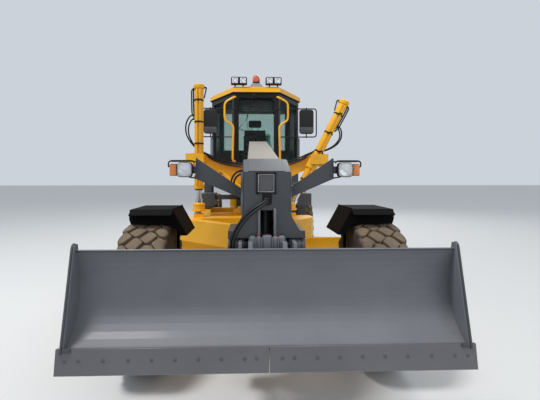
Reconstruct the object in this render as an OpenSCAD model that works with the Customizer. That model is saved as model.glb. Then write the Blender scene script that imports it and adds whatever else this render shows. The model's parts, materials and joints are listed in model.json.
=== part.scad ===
/* [Stance] */
// Distance from the front axle to the middle of the tandem
wheelbase = 6220; // [5900:10:6500]
// Distance between the two wheels of one tandem
tandem_pitch = 1540; // [1480:10:1650]
// Distance between the middles of the left and right tyres
track = 2156; // [2120:2:2240]
/* [Wheels] */
// Outer diameter of a tyre
tyre_od = 1350; // [1300:5:1380]
// Width of a tyre
tyre_w = 445; // [420:5:460]
// Diameter of the rim's bead seat
rim_d = 635; // [610:5:650]
// Radius of the bore in a wheel's hub
hub_bore_r = 60; // [50:1:70]
// Distance from the king pin to the middle of the tyre
kingpin_offset = 248; // [240:1:260]
// Radius of the king pins
kingpin_r = 32; // [25:1:36]
/* [Front frame] */
// Width of the gooseneck beam
neck_w = 300; // [260:5:320]
// Height of the beam's top at the nose
neck_nose_z = 1800; // [1780:5:1830]
// Height of the beam's top at the saddle
neck_arch_z = 2010; // [1980:5:2040]
// Depth of the gooseneck beam at the saddle
neck_depth = 360; // [320:5:400]
// Thickness of the nose's cheeks
cheek_t = 30; // [20:1:40]
/* [Drawbar] */
// Sideways place of the drawbar's lift balls' middle
bar_shift = -180; // [-220:5:-140]
// Distance from the nose ball to the lift balls, along the drawbar
bar_ball_v = 1948; // [1900:2:1990]
// Half the distance between the lift balls
bar_ball_u = 640; // [600:5:680]
// Radius of the nose ball
nose_ball_r = 60; // [50:1:64]
// Height of the drawbar's beams
bar_h = 270; // [240:5:280]
// Distance from the nose ball to the circle's middle
circle_v = 2930; // [2900:1:2960]
// Outer radius of the circle's ring
circle_r = 720; // [690:5:740]
/* [Main blade] */
// Length of the main blade
blade_len = 3600; // [3300:10:3620]
// Height of the main blade
blade_h = 610; // [560:5:620]
// Height of the main blade's lower edge above the ground
blade_z = 210; // [190:5:230]
// Thickness of the main blade's plate
blade_t = 20; // [14:1:25]
/* [Front blade] */
// Length of the front blade's curved plate
dozer_len = 2700; // [2500:10:2760]
// Length of the front blade's cutting edge
dozer_edge_len = 2800; // [2700:10:2860]
// Thickness of the front blade's plate
dozer_t = 14; // [10:1:18]
// Depth of the front blade's curve
dozer_sag = 175; // [150:1:190]
// Width of the front blade's bracket
bracket_w = 350; // [330:2:370]
/* [Cab] */
// Height of the cab floor's upper side
floor_z = 1700; // [1690:2:1710]
// Height of the cab roof's upper side
roof_z = 3285; // [3250:5:3320]
// Thickness of the roof
roof_t = 95; // [80:5:110]
// Width of the cab's posts
post_w = 60; // [50:2:70]
// Thickness of the window glass
glass_t = 6; // [5:1:8]
/* [Rear] */
// Width of the engine hood
hood_w = 1040; // [980:10:1060]
// Height of the hood's top at the front
hood_z = 2210; // [2150:5:2240]
// Thickness of the hood's sheet
hood_t = 30; // [20:1:40]
/* [Hidden] */
$fn = 48;
SIDES = [-1, 1];
// Seating gap between solids of one body, gap between solids of two bodies, clearances of a pin and a ball
seat_gap = 0.3;
free_gap = 5;
ball_gap = 0.5;
run_gap = 0.05;
tyre_r = tyre_od / 2;
// Place of the front axle, so that the machine's box is centred on the origin
axle_y = -3375;
// King pins, spindles and the axle beam
kingpin_x = track / 2 - kingpin_offset;
spindle_r = hub_bore_r - run_gap;
hub_bore_end = 150;
knuckle_r = kingpin_r + 38;
knuckle_z = [tyre_r - 144, tyre_r + 144];
lug_t = 50;
axle_half = 80;
axle_pin_z = 760;
axle_pin_r = 35;
arm_back = 190;
tie_z = tyre_r - 119;
tie_r = 20;
tie_eye_r = 24;
lean_y = -130;
lean_z = 955;
// Nose ball, and the way that the drawbar is turned about it
nose_ball = [0, -200, 1100];
bar_yaw = asin(-bar_shift / bar_ball_v);
ball_z = 1340;
ball_r = 35;
bar_z = 970;
yoke_z = 2040;
barrel_r = 62;
lift_rod_r = 38;
barrel_start = 290;
barrel_len = 1430;
trunnion_r = 28;
cup_r = 80;
shift_pin = [-520, 1740, 1835];
shift_eye = [150, 1740, 1330];
// Circle and main blade
ring_z = [930, 1030];
ring_in = circle_r - 95;
arm_u = 550;
pitch_y = 95;
pitch_z = blade_z + 165;
blade_back = -150;
rail_z = [blade_z + 130, blade_z + 450];
rail_len = 3000;
// Front blade's linkage: upper and lower fixed pins, and the pins on the blade
link_top = [-500, 1020];
link_low = [-500, 560];
link_reach = [-340, 250];
link_pin_r = 30;
ram_top = [-640, 1610];
ram_eye = link_top + 0.55 * link_reach;
ram_r = 45;
ram_rod_r = 26;
dozer_low = [-1270, 640];
dozer_top = [-1080, 1270];
dozer_edge_z = 500;
bracket_t = 25;
bracket_face = -910;
// Lamp arms' ends, and the middles and half sizes of the headlamps and signals
lamp_arm_end = 572;
lamp_y = -600;
lamp_x = 652;
lamp_z = 1848;
lamp_size = [56, 55];
signal_x = 746;
signal_size = [28, 45];
// Cab corners, from the front right one and on round
CAB = [[370, 2740], [800, 3550], [700, 4340], [-700, 4340], [-800, 3550], [-370, 2740]];
cab_top = roof_z - roof_t;
// Walls with fixed glass and the height of their sills, walls with a door, head of all the openings
PANES = [[0, floor_z + 160], [2, floor_z + 620], [4, floor_z + 160], [5, floor_z + 260]];
DOOR_WALLS = [1, 3];
head_z = cab_top - 85;
post_m = post_w + 10;
door_gap = 8;
hinge_out = 20;
hinge_r = 8;
door_t = 40;
hinge_z = [floor_z + 260, head_z - 200];
joint_y = 4420;
joint_r = 42;
hitch_r = 26;
plate_bolt_r = 12;
tandem_y = [wheelbase - tandem_pitch / 2, wheelbase + tandem_pitch / 2];
tandem_x = [630, 810];
rear_end = 7950;
HOOD_Y = [4720, 7620];
// Side vents of the hood, from and to
VENTS = [[5150, 5950], [6500, 7200]];

function unit(v) = v / norm(v);
// Corners of a convex outline moved inwards by t
function inset(c, t) = [for (i = [0 : len(c) - 1])
    let (n = len(c), d1 = unit(c[i] - c[(i + n - 1) % n]), d2 = unit(c[(i + 1) % n] - c[i]),
         n1 = [-d1.y, d1.x], n2 = [-d2.y, d2.x])
    c[i] + (n1 + n2) * t / (1 + n1 * n2)];
// Points on an arc
function arc(c, r, a0, a1, n = 8) = [for (i = [0 : n]) let (a = a0 + (a1 - a0) * i / n) c + r * [cos(a), sin(a)]];
// Radius and centre of the arc from p to q that stands s proud of their chord, on its right
function arc_r(p, q, s) = norm(q - p) ^ 2 / (8 * s) + s / 2;
function arc_mid(p, q, s) = (p + q) / 2 + [-(q - p).y, (q - p).x] / norm(q - p) * (arc_r(p, q, s) - s);
function turn(p, a) = [p.x * cos(a) - p.y * sin(a), p.x * sin(a) + p.y * cos(a)];
// A place on the drawbar, from its own sideways and lengthways sizes
function on_bar(u, v, z) = let (p = turn([u, v], bar_yaw)) [p.x, p.y + nose_ball.y, z];

// Top pin of the lift cylinder on side s
function yoke_pin(s) = [s * yoke_x, on_bar(s * bar_ball_u, bar_ball_v, 0).y, yoke_z];

circle_mid = on_bar(0, circle_v, 0);
ball_left = on_bar(-bar_ball_u, bar_ball_v, ball_z);
ball_right = on_bar(bar_ball_u, bar_ball_v, ball_z);
yoke_x = -ball_left.x;

module slab(x0, x1, y0, y1, z0, z1) {
    translate([x0, y0, z0]) cube([x1 - x0, y1 - y0, z1 - z0]);
}
module mid_slab(w, y0, y1, z0, z1) slab(-w / 2, w / 2, y0, y1, z0, z1);
// A plate across X, its outline in Y and Z
module side_plate(outline, x, t) {
    translate([x - t / 2, 0, 0]) rotate([90, 0, 90]) linear_extrude(t) polygon(outline);
}
// A plate across Y, its outline in X and Z
module front_plate(outline, y, t) {
    translate([0, y + t / 2, 0]) rotate([90, 0, 0]) linear_extrude(t) polygon(outline);
}
// A plate across Z, its outline in X and Y
module flat_plate(outline, z, t) translate([0, 0, z]) linear_extrude(t) polygon(outline);
module pin_x(y, z, r, l, x = 0) translate([x - l / 2, y, z]) rotate([0, 90, 0]) cylinder(r = r, h = l);
module pin_y(x, z, r, l, y = 0) translate([x, y + l / 2, z]) rotate([90, 0, 0]) cylinder(r = r, h = l);
module pin_z(x, y, r, z0, z1) translate([x, y, z0]) cylinder(r = r, h = z1 - z0);
// Draws what follows with its Z axis along the way from p to q
module along(p, q) {
    d = q - p;
    translate(p) rotate([0, acos(d.z / norm(d)), atan2(d.y, d.x)]) children();
}
module bar_between(p, q, r) along(p, q) cylinder(r = r, h = norm(q - p));
module both_sides() {
    children();
    mirror([1, 0, 0]) children();
}
module on_side(s) {
    if (s > 0) children();
    else mirror([1, 0, 0]) children();
}
module machine() translate([0, axle_y, 0]) children();
module drawbar_frame() translate([nose_ball.x, nose_ball.y, 0]) rotate([0, 0, bar_yaw]) children();
module circle_frame() translate([circle_mid.x, circle_mid.y, 0]) children();

// Wheels, about the Z axis with the outer side up
module tyre_ring() {
    half = tyre_w / 2;
    bead = rim_d / 2 + seat_gap;
    side = [[bead, half - 57.5], [bead + 30, half - 57.5], [bead + 36, half - 38], [bead + 60, half - 16], [bead + 150, half], [tyre_r - 90, half - 6],
            [tyre_r - 38, half - 20], [tyre_r, half - 62]];
    rotate_extrude($fn = 96) polygon(concat(side, [for (i = [len(side) - 1 : -1 : 0]) [side[i].x, -side[i].y]]));
}
module rim_dish() {
    half = tyre_w / 2;
    bead = rim_d / 2;
    rotate_extrude($fn = 96) polygon([[bead - 20, -half + 44], [bead + 28, -half + 44], [bead + 28, -half + 57],
        [bead, -half + 57], [bead, half - 57], [bead + 28, half - 57], [bead + 28, half - 44],
        [bead - 20, half - 44], [bead - 30, 120], [240, 112], [190, 92], [118, 92], [112, 190], [0, 190],
        [0, hub_bore_end], [hub_bore_r, hub_bore_end], [hub_bore_r, 30], [112, 30], [118, 70], [190, 70],
        [240, 88], [bead - 30, 96]]);
}
module at_wheel(s, y) translate([s * track / 2, y, tyre_r]) rotate([0, s * 90, 0]) children();
module tyre(s, y) color("dimgray") machine() at_wheel(s, y) tyre_ring();
module rim(s, y) color("gold") machine() at_wheel(s, y) rim_dish();

// Gooseneck with the nose that carries the axle, and the ears of the frame joint
module gooseneck() {
    belly = neck_arch_z - neck_depth;
    color("gold") machine() difference() {
        union() {
            side_plate([[-400, neck_nose_z], [1700, neck_arch_z - 15], [2050, neck_arch_z],
                [2450, neck_arch_z - 40], [2580, neck_arch_z - 150], [2620, floor_z - 60 - seat_gap],
                [4180, floor_z - 60 - seat_gap], [4180, 960], [3760, 960], [3610, 1080], [3560, 1340],
                [2560, 1340], [2260, belly - 70], [1950, belly], [1200, belly - 30], [600, 1510], [400, 1430],
                [-400, 1430]], 0, neck_w);
            for (s = SIDES) side_plate([[-400, 1435], [402, 1435], [345, 1100], [170, 925], [170, 700],
                [100, 700], [100, 925], [-100, 925], [-100, 700], [-170, 700], [-170, 925], [-400, 925]],
                s * (neck_w - cheek_t) / 2, cheek_t);
            mid_slab(neck_w, -400, -365, 925, 1435);
            mid_slab(neck_w, -150, -110, 660, 900);
            mid_slab(neck_w, 110, 150, 660, 900);
            pin_y(0, axle_pin_z, axle_pin_r, 340);
            bar_between([0, -370, nose_ball.z], nose_ball, 28);
            translate(nose_ball) sphere(r = nose_ball_r);
            for (z = [990, 1440]) {
                mid_slab(neck_w, 4100, joint_y, z, z + 50);
                pin_z(0, joint_y, 110, z, z + 50);
            }
            for (z = [960, 1410]) pin_z(0, joint_y, joint_r, z, z + 160);
        }
        for (s = SIDES) pin_x(lean_y, lean_z, 30, 60, s * neck_w / 2);
    }
}
// Cover over the hoses on the gooseneck's top
module neck_cover() {
    slope = (neck_arch_z - neck_nose_z - 15) / 2100;
    function top_at(y) = neck_nose_z + (y + 400) * slope;
    module rib(y, w, h) translate([0, y, top_at(y) + seat_gap]) rotate([90, 0, 0]) linear_extrude(1)
        polygon([[-neck_w / 2, 0], [neck_w / 2, 0], [w / 2, h], [-w / 2, h]]);
    color("tan") machine() hull() {
        rib(-399, 290, 130);
        rib(1690, 240, 290);
    }
}
// Arms on the gooseneck that carry the lift cylinders in forks
module saddle() {
    y0 = yoke_pin(1).y + 110;
    color("gold") machine() {
        for (s = SIDES) on_side(s) {
            y = yoke_pin(s).y;
            difference() {
                union() {
                    front_plate([[neck_w / 2 + seat_gap, 1960], [290, 1976], [450, 2000], [600, 2050], [720, 2115],
                        [800, 2150], [985, 2130], [985, 1950], [800, 1930], [600, 1850], [400, 1750],
                        [neck_w / 2 + seat_gap, 1660]], y0 + 90, 180);
                    slab(yoke_x - 75, 985, y + 95, y0 + 10, yoke_z - 70, yoke_z + 70);
                    slab(yoke_x - 75, 985, y - 130, y - 95, yoke_z - 70, yoke_z + 70);
                }
                pin_y(yoke_x, yoke_z, trunnion_r + run_gap, 400, y);
            }
            slab(950, 985, y - 95 + seat_gap, y + 95 - seat_gap, yoke_z - 70, yoke_z + 70);
        }
        pin_y(shift_pin.x, shift_pin.z, 25, 180, y0 - 89);
    }
}
// Dark bracket on the nose that holds the front blade's links and ram
module front_bracket() {
    half = bracket_w / 2;
    back = -400 - seat_gap;
    side_front = bracket_face + bracket_t + seat_gap;
    cheek_x = 269.5;
    ram_slot = 130;
    color("dimgray") machine() {
        difference() {
            front_plate([[-half, 1830], [half, 1830], [half, 1530], [195, 1480], [240, 1400], [300, 1330],
                [-300, 1330], [-240, 1400], [-195, 1480], [-half, 1530]], bracket_face + bracket_t / 2, bracket_t);
            slab(-48, 48, bracket_face - 10, bracket_face + bracket_t + 10, 1300, 1540);
            slab(-34, 34, bracket_face - 10, bracket_face + bracket_t + 10, 1590, 1680);
        }
        for (x = [-60, 60]) slab(x - 6, x + 6, bracket_face - 22, bracket_face - seat_gap, 1340, 1550);
        side_plate([[bracket_face, 1830 + seat_gap], [-620, 1935], [back, 1935], [back, 1830 + seat_gap]], 0,
            bracket_w);
        both_sides() {
            side_plate([[side_front, 1380], [side_front, 1830], [back, 1830], [back, 1380]],
                half - bracket_t / 2, bracket_t - seat_gap);
            side_plate([[-884, 1330], [-884, 1379.7], [back, 1379.7], [back, 1330]], cheek_x + bracket_t / 2,
                bracket_t);
            difference() {
                side_plate([[-760, 1329.7], [-760, 1200], [-600, 480], [back, 480], [back, 1329.7]],
                    cheek_x + bracket_t / 2, bracket_t);
                for (p = [link_top, link_low]) pin_x(p.x, p.y, link_pin_r + seat_gap, 700);
            }
        }
        for (p = [link_top, link_low]) pin_x(p.x, p.y, link_pin_r, 600);
        mid_slab(2 * cheek_x - 0.6, back - bracket_t, back, 480, 1379.7);
        both_sides() slab(ram_slot / 2, cheek_x - seat_gap, -884, back - bracket_t - seat_gap, 1340, 1379.7);
        mid_slab(ram_slot - 2 * seat_gap, -560, back - bracket_t - seat_gap, 1340, 1379.7);
        for (s = SIDES) slab(s * 60 - 12, s * 60 + 12, ram_top.x - 40, back, ram_top.y - 40, ram_top.y + 40);
        pin_x(ram_top.x, ram_top.y, 22, 140);
    }
}
// Lamp arms in a V with the headlamps on their ends
module lamp_arms() {
    inner = bracket_w / 2 + seat_gap;
    color("dimgray") machine() both_sides() {
        front_plate([[inner, 1672], [lamp_arm_end, 1942], [lamp_arm_end, 1775], [inner, 1604]], lamp_y, 16);
        slab(lamp_arm_end - 12, lamp_arm_end, lamp_y - 1, lamp_y + 60, 1775, 1942);
        slab(lamp_arm_end - 1, lamp_x + 40, lamp_y - 30, lamp_y - 8, lamp_z - 30, lamp_z + 30);
        slab(lamp_arm_end - 1, signal_x + signal_size.x, lamp_y - 70, lamp_y + 40, lamp_z + 66, lamp_z + 74);
    }
}
// Headlamps with the signals beside them
module lamp_lenses() {
    w = lamp_size.x;
    h = lamp_size.y;
    color("lightgray") machine() both_sides() {
        front_plate([[lamp_x - w, lamp_z - h + 18], [lamp_x - w, lamp_z + h - 18], [lamp_x - w + 18, lamp_z + h],
            [lamp_x + w, lamp_z + h], [lamp_x + w, lamp_z - h], [lamp_x - w + 18, lamp_z - h]], lamp_y - 55, 48);
        slab(signal_x - signal_size.x, signal_x + signal_size.x, lamp_y - 62, lamp_y - 20, lamp_z - signal_size.y,
            lamp_z + signal_size.y);
        slab(lamp_x + w + seat_gap, signal_x - signal_size.x - seat_gap, lamp_y - 50, lamp_y - 35, lamp_z - 20,
            lamp_z + 20);
    }
}
// Front axle beam, with the carriers of the king pins, the lean bar and the lean cylinder
module front_axle() {
    color("gold") machine() difference() {
        front_plate([[-735, 560], [735, 560], [735, 790], [240, 895], [-240, 895], [-735, 790]], 0, 2 * axle_half);
        pin_y(0, axle_pin_z, axle_pin_r + seat_gap, 400);
    }
}
module lean_gear() {
    top = knuckle_z[1] + 1;
    low = knuckle_z[0] - 1;
    color("goldenrod") machine() {
        both_sides() {
            slab(735.3, 758, -45, 45, 640, 1000);
            slab(735.3, 758, -45, -5, low - lug_t, 641);
            slab(700, 758, -150, 45, 920, 1000);
            for (z = [top, low - lug_t]) {
                slab(735.3, kingpin_x, -50, z > 600 ? 50 : -5, z, z + lug_t);
                pin_z(kingpin_x, 0, 55, z, z + lug_t);
            }
            pin_z(kingpin_x, 0, kingpin_r, low - lug_t, top + lug_t);
        }
        pin_x(lean_y, lean_z, 22, 1410);
        slab(225, 265, 20, 60, 896.5, 975);
        bar_between([245, 40, 955], [600, 40, 970], 33);
        bar_between([600, 40, 970], [705, 40, 975], 18);
    }
}
module knuckle(s) {
    color("silver") machine() on_side(s) difference() {
        union() {
            pin_z(kingpin_x, 0, knuckle_r, knuckle_z[0], knuckle_z[1]);
            pin_x(0, tyre_r, spindle_r, track / 2 + hub_bore_end - 10 - kingpin_x - 50,
                (track / 2 + hub_bore_end - 10 + kingpin_x + 50) / 2);
            pin_x(0, tyre_r, 105, 140, kingpin_x + 110);
            flat_plate([[kingpin_x - 30, 0], [kingpin_x - tie_eye_r, arm_back + tie_eye_r],
                [kingpin_x + tie_eye_r, arm_back + tie_eye_r], [kingpin_x + 40, 40]], tie_z - 25, 24);
            pin_z(kingpin_x, arm_back, 16, tie_z - 20, tie_z + 40);
            slab(kingpin_x - 10, kingpin_x + 50, 40, 92, 650, 800);
        }
        pin_z(kingpin_x, 0, kingpin_r + run_gap, 0, 2000);
    }
}
module tie_rod() {
    color("goldenrod") machine() difference() {
        union() {
            pin_x(arm_back, tie_z + 22, tie_r, 2 * kingpin_x - 40);
            for (s = SIDES) pin_z(s * kingpin_x, arm_back, tie_eye_r, tie_z, tie_z + 44);
        }
        for (s = SIDES) pin_z(s * kingpin_x, arm_back, 16 + run_gap, 0, 2000);
    }
}
// Mudguard over a front tyre, on a bracket from the knuckle
module fender(s) {
    t = 8;
    color("black") machine() on_side(s) {
        front_plate([[709, 1245], [843, 1487], [1234, 1487], [1250, 1430], [1242, 1428], [1226, 1487 - t],
            [848, 1487 - t], [716, 1241]], 135, 570);
        side_plate([[420, 1487], [700, 1290], [696, 1282], [420, 1476]], 1037, 390);
        side_plate([[-150, 1487], [-230, 1440], [-227, 1432], [-150, 1477]], 1037, 390);
        difference() {
            slab(kingpin_x - 10, kingpin_x + 18, 92.3, 112, 660, 1450);
            front_plate([[600, 1048], [843, 1487], [840, 1600], [500, 1600], [500, 1040]], 100, 60);
            front_plate([[700, 1487 - t], [1000, 1487 - t], [1000, 1700], [700, 1700]], 100, 60);
        }
    }
}
// Drawbar: the frame that hangs from the nose ball and the lift cylinders
module drawbar() {
    half = [[55, 500], [55, 680], [880, 1640], [930, 1760], [930, 2010]];
    outline = concat(half, [for (i = [4 : -1 : 0]) [-half[i].x, half[i].y]]);
    color("orange") machine() difference() {
        union() {
            drawbar_frame() {
                difference() {
                    flat_plate(outline, bar_z, bar_h);
                    flat_plate([[0, 740], [600, 1600], [600, 1700], [-600, 1700], [-600, 1600]], bar_z - 1, bar_h + 2);
                }
                slab(-60, 60, 60, 520, 1030, 1170);
                for (s = SIDES) {
                    slab(s * 550 - 70, s * 550 + 70, 1990, circle_v + 740, ring_z[1] + 30, bar_z + bar_h);
                    slab(s * bar_ball_u - 70, s * bar_ball_u + 70, 1860, 2009, bar_z + bar_h - 1, bar_z + bar_h + 45);
                    pin_z(s * bar_ball_u, bar_ball_v, 22, bar_z + bar_h, ball_z);
                    translate([s * bar_ball_u, bar_ball_v, ball_z]) sphere(r = ball_r);
                }
                slab(-550, 550, circle_v + 580, circle_v + 740, ring_z[1] + 30, bar_z + bar_h);
                slab(-550, 550, circle_v - 500, circle_v - 340, ring_z[1] + 30, bar_z + bar_h);
                for (v = [1850, 1965]) slab(280, 370, v, v + 18, bar_z + bar_h - 1, bar_z + bar_h + 135);
                // Shoes that hold the circle from below
                for (a = [35, 145, 215, 325]) translate([0, circle_v, 0]) rotate([0, 0, a]) {
                    slab(circle_r + free_gap, circle_r + 50, -60, 60, ring_z[0] - 35, ring_z[1] + 60);
                    slab(circle_r - 30, circle_r + 50, -60, 60, ring_z[0] - 35, ring_z[0] - seat_gap);
                }
            }
            // Socket of the nose ball, with a slot in front for the ball's stem
            pin_x(nose_ball.y, nose_ball.z, nose_ball_r + 36, 150);
        }
        translate(nose_ball) sphere(r = nose_ball_r + ball_gap);
        slab(-36, 36, nose_ball.y - 120, nose_ball.y - 20, nose_ball.z - 66, nose_ball.z + 36);
    }
}
// Gearbox and motor that turn the circle
module circle_drive() {
    color("gold") machine() drawbar_frame() {
        pin_z(0, circle_v - 420, 130, bar_z + bar_h + seat_gap, bar_z + bar_h + 60);
        pin_z(0, circle_v - 420, 60, bar_z + bar_h + 60, bar_z + bar_h + 98);
    }
}
// Lift cylinders. The barrel turns in its fork, and the rod's cup sits over the ball.
module lift_barrel(ball, s) {
    pin = yoke_pin(s);
    color("gold") machine() difference() {
        union() {
            along(ball, pin) {
                translate([0, 0, barrel_start]) cylinder(r = barrel_r, h = barrel_len);
                for (z = [barrel_start, barrel_start + barrel_len - 50]) translate([0, 0, z])
                    cylinder(r = barrel_r + 7, h = 50);
                translate([0, 0, norm(pin - ball) - 55]) cylinder(r = barrel_r + 12, h = 110);
            }
            pin_y(pin.x, pin.z, trunnion_r, 250, pin.y);
        }
        along(ball, pin) cylinder(r = lift_rod_r + run_gap, h = barrel_start + barrel_len - 60);
    }
}
module lift_rod(ball, s) {
    pin = yoke_pin(s);
    color("silver") machine() {
        along(ball, pin) translate([0, 0, 110]) cylinder(r = lift_rod_r, h = 960);
        difference() {
            union() {
                along(ball, pin) translate([0, 0, 66]) cylinder(r = 52, h = 84);
                pin_z(ball.x, ball.y, cup_r, ball.z - 20, ball.z + 80);
            }
            pin_z(ball.x, ball.y, cup_r - 8, ball.z - 30, ball.z + 60);
        }
    }
}
module shift_barrel() {
    color("gold") machine() difference() {
        union() {
            bar_between(shift_pin, shift_pin + 0.72 * (shift_eye - shift_pin), 45);
            pin_y(shift_pin.x, shift_pin.z, 48, 70, shift_pin.y - 20);
        }
        along(shift_pin, shift_eye) translate([0, 0, 120]) cylinder(r = 24 + run_gap, h = 900);
        pin_y(shift_pin.x, shift_pin.z, 25 + run_gap, 400, shift_pin.y);
    }
}
module shift_rod() {
    color("silver") machine() {
        along(shift_eye, shift_pin) translate([0, 0, 30]) cylinder(r = 24, h = norm(shift_eye - shift_pin) - 160);
        pin_y(shift_eye.x, shift_eye.z, 42, 30, shift_eye.y);
    }
}
// Toothed ring and the two arms that hang from it
module circle_ring() {
    color("goldenrod") machine() circle_frame() {
        difference() {
            pin_z(0, 0, circle_r, ring_z[0], ring_z[1]);
            pin_z(0, 0, ring_in, ring_z[0] - 1, ring_z[1] + 1);
        }
        for (s = SIDES) difference() {
            side_plate([[-330, ring_z[0]], [-330, 905], [-120, 905], [60, 720], [60, pitch_z + 125],
                [35, pitch_z + 45], [35, pitch_z - 70], [160, pitch_z - 70], [200, pitch_z + 60], [330, 840],
                [330, ring_z[0]]], s * arm_u, 70);
            pin_x(pitch_y, pitch_z, 30 + run_gap, 200, s * arm_u);
        }
        for (y = [-300, 300]) mid_slab(2 * arm_u, y - 30, y + 30, ring_z[0] - 60, ring_z[0]);
    }
}
// Carrier that tips the main blade on the arms' pins
module blade_carrier() {
    color("gold") machine() circle_frame() for (s = SIDES) {
        x = s * (arm_u - 35 - free_gap - 30);
        difference() {
            side_plate([[-105, 710], [-10, 720], [60, pitch_z + 80], [150, pitch_z + 55], [150, pitch_z - 50],
                [20, pitch_z - 100], [-105, pitch_z - 100]], x, 60);
            blade_rails(seat_gap);
        }
        pin_x(pitch_y, pitch_z, 30, 140, s * (arm_u - 10));
    }
}
module blade_rails(g) {
    for (z = rail_z) {
        mid_slab(rail_len, blade_back, blade_back + 75, z - 12 - g, z + 12 + g);
        mid_slab(rail_len, blade_back + 70 - g, blade_back + 120 + g, z - 28 - g, z + 28 + g);
    }
}
// Main blade with its cutting edge and the rails on its back
module main_blade() {
    low = [blade_back - 150, blade_z + 60];
    top = [blade_back - 130, blade_z + blade_h];
    sag = 130;
    c = arc_mid(low, top, sag);
    r = arc_r(low, top, sag);
    a0 = atan2(low.y - c.y, low.x - c.x);
    a1 = atan2(top.y - c.y, top.x - c.x);
    color("gold") machine() translate([0, circle_mid.y, 0]) {
        side_plate(concat(arc(c, r, a0, a1, 12), arc(c, r + blade_t, a1, a0, 12)), 0, blade_len);
        side_plate([[low.x - 25, blade_z], [low.x - 7, blade_z], [low.x + 8, blade_z + 150],
            [low.x - 12, blade_z + 150]], 0, blade_len);
        difference() {
            union() {
                blade_rails(0);
                mid_slab(rail_len, -212, blade_back + 1, rail_z[0] - 12, rail_z[0] + 12);
                mid_slab(rail_len, -165, blade_back + 1, rail_z[1] - 12, rail_z[1] + 12);
            }
            pin_x(c.x, c.y, r, blade_len);
        }
    }
}
// Front blade's arms and link, from the fixed pins to the blade's pins
module dozer_arms() {
    end = link_low + link_reach;
    color("dimgray") machine() difference() {
        union() {
            both_sides() {
                along([235, end.x, end.y], [235, link_low.x, link_low.y]) translate([-30, -22, 0])
                    cube([60, 44, norm(link_reach)]);
                for (p = [link_low, end]) pin_x(p.x, p.y, 55, 50, 235);
            }
            pin_x(link_low.x, link_low.y, 42, 470);
        }
        for (p = [link_low, end]) pin_x(p.x, p.y, link_pin_r + run_gap, 800);
    }
}
module dozer_link() {
    end = link_top + link_reach;
    color("dimgray") machine() difference() {
        union() {
            for (x = [-72, 72]) along([x, end.x, end.y], [x, link_top.x, link_top.y]) translate([-18, -30, 0])
                cube([36, 60, norm(link_reach)]);
            for (x = [-72, 72], p = [link_top, end]) pin_x(p.x, p.y, 52, 46, x);
            pin_x(link_top.x, link_top.y, 42, 170);
            for (x = [-36, 36]) side_plate([ram_eye + [-45, 45], ram_eye + [35, 45], ram_eye + [50, -110],
                ram_eye + [-30, -110]], x, 16);
            pin_x(ram_eye.x, ram_eye.y - 82, 20, 80);
        }
        for (p = [link_top, end]) pin_x(p.x, p.y, link_pin_r + run_gap, 800);
    }
}
module ram_barrel() {
    top = [0, ram_top.x, ram_top.y];
    eye = [0, ram_eye.x, ram_eye.y];
    color("dimgray") machine() difference() {
        union() {
            along(top, eye) cylinder(r = ram_r, h = norm(eye - top) - 70);
            pin_x(top.y, top.z, 50, 84);
        }
        pin_x(top.y, top.z, 22 + run_gap, 200);
        along(top, eye) translate([0, 0, 60]) cylinder(r = ram_rod_r + run_gap, h = 600);
    }
}
module ram_rod() {
    top = [0, ram_top.x, ram_top.y];
    eye = [0, ram_eye.x, ram_eye.y];
    color("silver") machine() {
        along(eye, top) translate([0, 0, 20]) cylinder(r = ram_rod_r, h = norm(eye - top) - 90);
        pin_x(eye.y, eye.z, 34, 44);
    }
}
module front_blade() {
    c = arc_mid(dozer_low, dozer_top, dozer_sag);
    r = arc_r(dozer_low, dozer_top, dozer_sag);
    a0 = atan2(dozer_low.y - c.y, dozer_low.x - c.x);
    a1 = atan2(dozer_top.y - c.y, dozer_top.x - c.x);
    pins = [link_low + link_reach, link_top + link_reach];
    back = c.x + r + dozer_t;
    boss_r = 52;
    color("dimgray") machine() {
        side_plate(concat(arc(c, r, a0, a1, 14), arc(c, r + dozer_t, a1, a0, 14)), 0, dozer_len);
        // End plates with their small ears
        for (s = SIDES) side_plate(concat([dozer_low + [-8, -20]], [dozer_top + [-16, 45]], [dozer_top + [40, 45]],
            arc(c, r + 34, a1 - 6, a0, 10)), s * (dozer_len / 2 + 8), 16);
        // Cutting edge in two halves
        for (s = SIDES) side_plate([[dozer_low.x - 30, dozer_edge_z], [dozer_low.x - 10, dozer_edge_z],
            [dozer_low.x + 20, dozer_low.y + 22], [dozer_low.x, dozer_low.y + 22]],
            s * (dozer_edge_len / 4 + 1), dozer_edge_len / 2 - 4);
        // Stiffening box along the back
        side_plate([[back - 12, 900], [back + 35, 920], [back + 35, 1060], [back - 12, 1080]], 0, dozer_len - 400);
        // Ears for the arms and the link
        for (s = SIDES) {
            difference() {
                union() {
                    side_plate([[dozer_top.x + 20, pins[1].y + 40], pins[1] + [10, 50], pins[1] + [50, 20],
                        pins[1] + [50, -50], [back + 40, 1000], pins[0] + [50, 40], pins[0] + [50, -40],
                        pins[0] + [0, -60], [dozer_low.x + 60, 640], [back - 200, 900]], s * 125, 30);
                    side_plate([[dozer_top.x + 20, pins[1].y + 40], pins[1] + [10, 46], pins[1] + [10, -46],
                        [back - 12, 1100], [back - 90, 1100]], s * 200, 24);
                    side_plate([[back - 20, 900], pins[0] + [50, 20], pins[0] + [50, -40], pins[0] + [0, -60],
                        [dozer_low.x + 60, 640], [back - 200, 800]], s * 290, 30);
                }
                pin_x(c.x, c.y, r + dozer_t / 2, 800);
            }
            pin_x(pins[1].x, pins[1].y, boss_r, 30, s * 125);
            pin_x(pins[1].x, pins[1].y, boss_r, 120, s * 235);
        }
        pin_x(pins[1].x, pins[1].y, link_pin_r, 360);
        pin_x(pins[0].x, pins[0].y, link_pin_r, 606);
    }
}
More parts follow.
